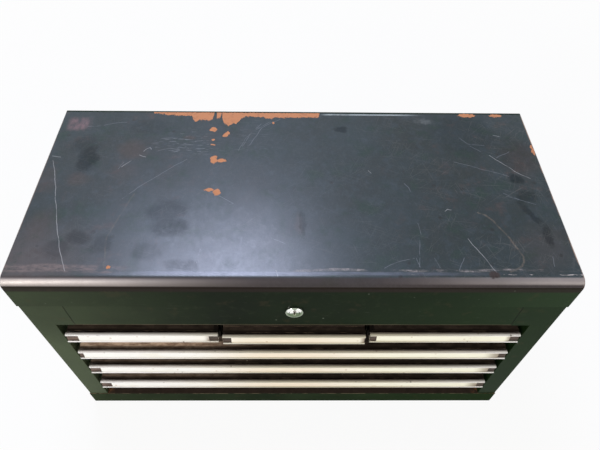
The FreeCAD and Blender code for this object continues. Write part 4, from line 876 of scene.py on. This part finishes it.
ZINC = plated_steel()
HANDLE = handle_steel()

# Pieces that take the place of plain nodes
make_lid(LID_TOP, LID_WALL, CASE)
for panel in ("left_side_panel", "right_side_panel", "back_panel", "till_floor", "left_divider", "right_divider",
              "left_front_upright", "right_front_upright", "left_rear_upright", "right_rear_upright"):
    softened(panel, 0.35 * MM, CASE, "case_paint")
softened("front_top_rail", 0.4 * MM, RAIL, "case_paint")
softened("bottom_pan", 0.4 * MM, PAN, "case_paint")
for drawer in DRAWERS:
    pull_finish = PULLS["middle_top_drawer" if drawer == "middle_top_drawer" else "left_top_drawer"]
    front_finish = FRONTS.get(drawer, FRONTS["left_top_drawer"])
    softened(f"{drawer}_front", 0.35 * MM, front_finish, "case_paint")
    softened(f"{drawer}_tray", 0.3 * MM, TRAY, "tray_paint")
    softened(f"{drawer}_pull", 0.16 * MM, pull_finish, "pull_aluminium")
    softened(f"{drawer}_label", 0.1 * MM, CARD, "label_white")
for bracket in ("left_handle_bracket", "right_handle_bracket"):
    softened(bracket, 0.5 * MM, HANDLE, "handle_steel")
for runners in ("top_row_runners", "second_row_runners", "third_row_runners", "bottom_row_runners"):
    softened(runners, 0.25 * MM, ZINC, "plated_steel")
softened("lid_strike", 0.4 * MM, ZINC, "plated_steel")
make_rivets("case_rivets", "case_rivet_heads", ZINC)
make_rivets("hinge_upper_rivets", "hinge_upper_rivet_heads", ZINC)

# Nodes that keep their own shape
for node_name in ("left_handle_bail", "right_handle_bail"):
    coated(frame["nodes"][node_name], HANDLE)
for node_name in ("lock_body", "lock_plug"):
    coated(frame["nodes"][node_name], CHROME)
for node_name in ("hinge_lower_leaf", "hinge_upper_leaf", "hinge_pin", "left_lid_stay", "right_lid_stay",
                  "stay_guide_pins", "stay_pivot_pins", "lock_nut", "lock_cam", "cam_screw"):
    coated(frame["nodes"][node_name], ZINC)

# Camera at the photograph's viewpoint
CAMERA_PLACE = Vector((-0.002476, -0.455665, 0.878202))
CAMERA_PITCH = math.radians(52.176)
CAMERA_YAW = math.radians(1.302)
CAMERA_ROLL = math.radians(-1.248)
FOCAL_PIXELS = 527.38
PICTURE_WIDTH = 600
SENSOR_WIDTH = 36

# Light from all round, and the floor: half its width in metres, how white it shows beside the chest, and the
# distances from which and at which it turns fully white
WORLD_LIGHT = 0.3
FLOOR_REACH = 6
FLOOR_WHITE = 0.92
WHITE_FROM, WHITE_AT = 0.6, 2.4


def make_camera():
    """The camera that was fitted to the photograph."""
    data = bpy.data.cameras.new("camera")
    data.sensor_fit = "HORIZONTAL"
    data.sensor_width = SENSOR_WIDTH
    data.lens = FOCAL_PIXELS * SENSOR_WIDTH / PICTURE_WIDTH
    data.clip_start = 0.01
    camera = bpy.data.objects.new("camera", data)
    bpy.context.scene.collection.objects.link(camera)
    forward = Vector((math.sin(CAMERA_YAW) * math.cos(CAMERA_PITCH),
                      math.cos(CAMERA_YAW) * math.cos(CAMERA_PITCH), -math.sin(CAMERA_PITCH)))
    level = Vector((math.cos(CAMERA_YAW), -math.sin(CAMERA_YAW), 0))
    down = forward.cross(level)
    right = math.cos(CAMERA_ROLL) * level + math.sin(CAMERA_ROLL) * down
    up = math.sin(CAMERA_ROLL) * level - math.cos(CAMERA_ROLL) * down
    turn = Matrix((right, up, -forward)).transposed()
    camera.matrix_world = Matrix.Translation(CAMERA_PLACE) @ turn.to_4x4()
    bpy.context.scene.camera = camera


def make_lamp(name, place, aim, size, power, colour):
    """A soft lamp, as wide and high as its size says, that faces a place."""
    data = bpy.data.lights.new(name, "AREA")
    data.shape = "RECTANGLE"
    data.size, data.size_y = size
    data.energy = power
    data.color = colour
    lamp = bpy.data.objects.new(name, data)
    lamp.location = place
    lamp.rotation_euler = (Vector(aim) - Vector(place)).to_track_quat("-Z", "Y").to_euler()
    bpy.context.scene.collection.objects.link(lamp)


def make_world():
    """Plain light from all round, and white for whatever looks past the floor."""
    world = bpy.data.worlds.new("studio")
    sky = Shader(world)
    light = sky.node("ShaderNodeBackground", {}, {"Color": (0.95, 0.97, 1, 1), "Strength": WORLD_LIGHT})
    white = sky.node("ShaderNodeBackground", {}, {"Color": WHITE, "Strength": 1})
    mix = sky.node("ShaderNodeMixShader", {}, {"Fac": sky.shown(), 1: light, 2: white})
    sky.node("ShaderNodeOutputWorld", {}, {"Surface": mix})
    bpy.context.scene.world = world


def make_floor():
    """A pale floor that takes the chest's shadow beside it and is plain white far off."""
    work = bmesh.new()
    for across, back in ((-1, -1), (1, -1), (1, 1), (-1, 1)):
        work.verts.new((across * FLOOR_REACH, back * FLOOR_REACH, 0))
    work.faces.new(work.verts)
    mesh = bpy.data.meshes.new("floor")
    work.to_mesh(mesh)
    work.free()
    floor = bpy.data.objects.new("floor", mesh)
    bpy.context.scene.collection.objects.link(floor)
    finish = Finish("pale_floor")
    matt = finish.node("ShaderNodeBsdfDiffuse", {}, {"Color": tone(214, 214, 211)})
    white = finish.node("ShaderNodeEmission", {}, {"Color": WHITE, "Strength": 1})
    away = finish.node("ShaderNodeVectorMath", {"operation": "LENGTH"}, {0: finish.place}, output="Value")
    share = FLOOR_WHITE + (1 - FLOOR_WHITE) * away.rising(WHITE_FROM, WHITE_AT)
    mix = finish.node("ShaderNodeMixShader", {}, {"Fac": finish.shown() * share, 1: matt, 2: white})
    finish.node("ShaderNodeOutputMaterial", {}, {"Surface": mix})
    coated(floor, finish.owner)


make_camera()
make_world()
make_floor()
make_lamp("window", (-0.345, 0.85, 2.3), (0, 0, 0.35), (0.8, 0.75), 50, (0.68, 0.74, 1.0))
make_lamp("left_lamp", (-1.65, -2.43, 1.95), (0, -0.1, 0.25), (0.5, 1.7), 60, (1.0, 0.97, 0.93))
make_lamp("right_lamp", (1.9, -2.2, 1.7), (0, -0.1, 0.25), (0.5, 1.9), 24, (1.0, 0.93, 0.88))

bpy.context.scene.view_settings.view_transform = "Standard"
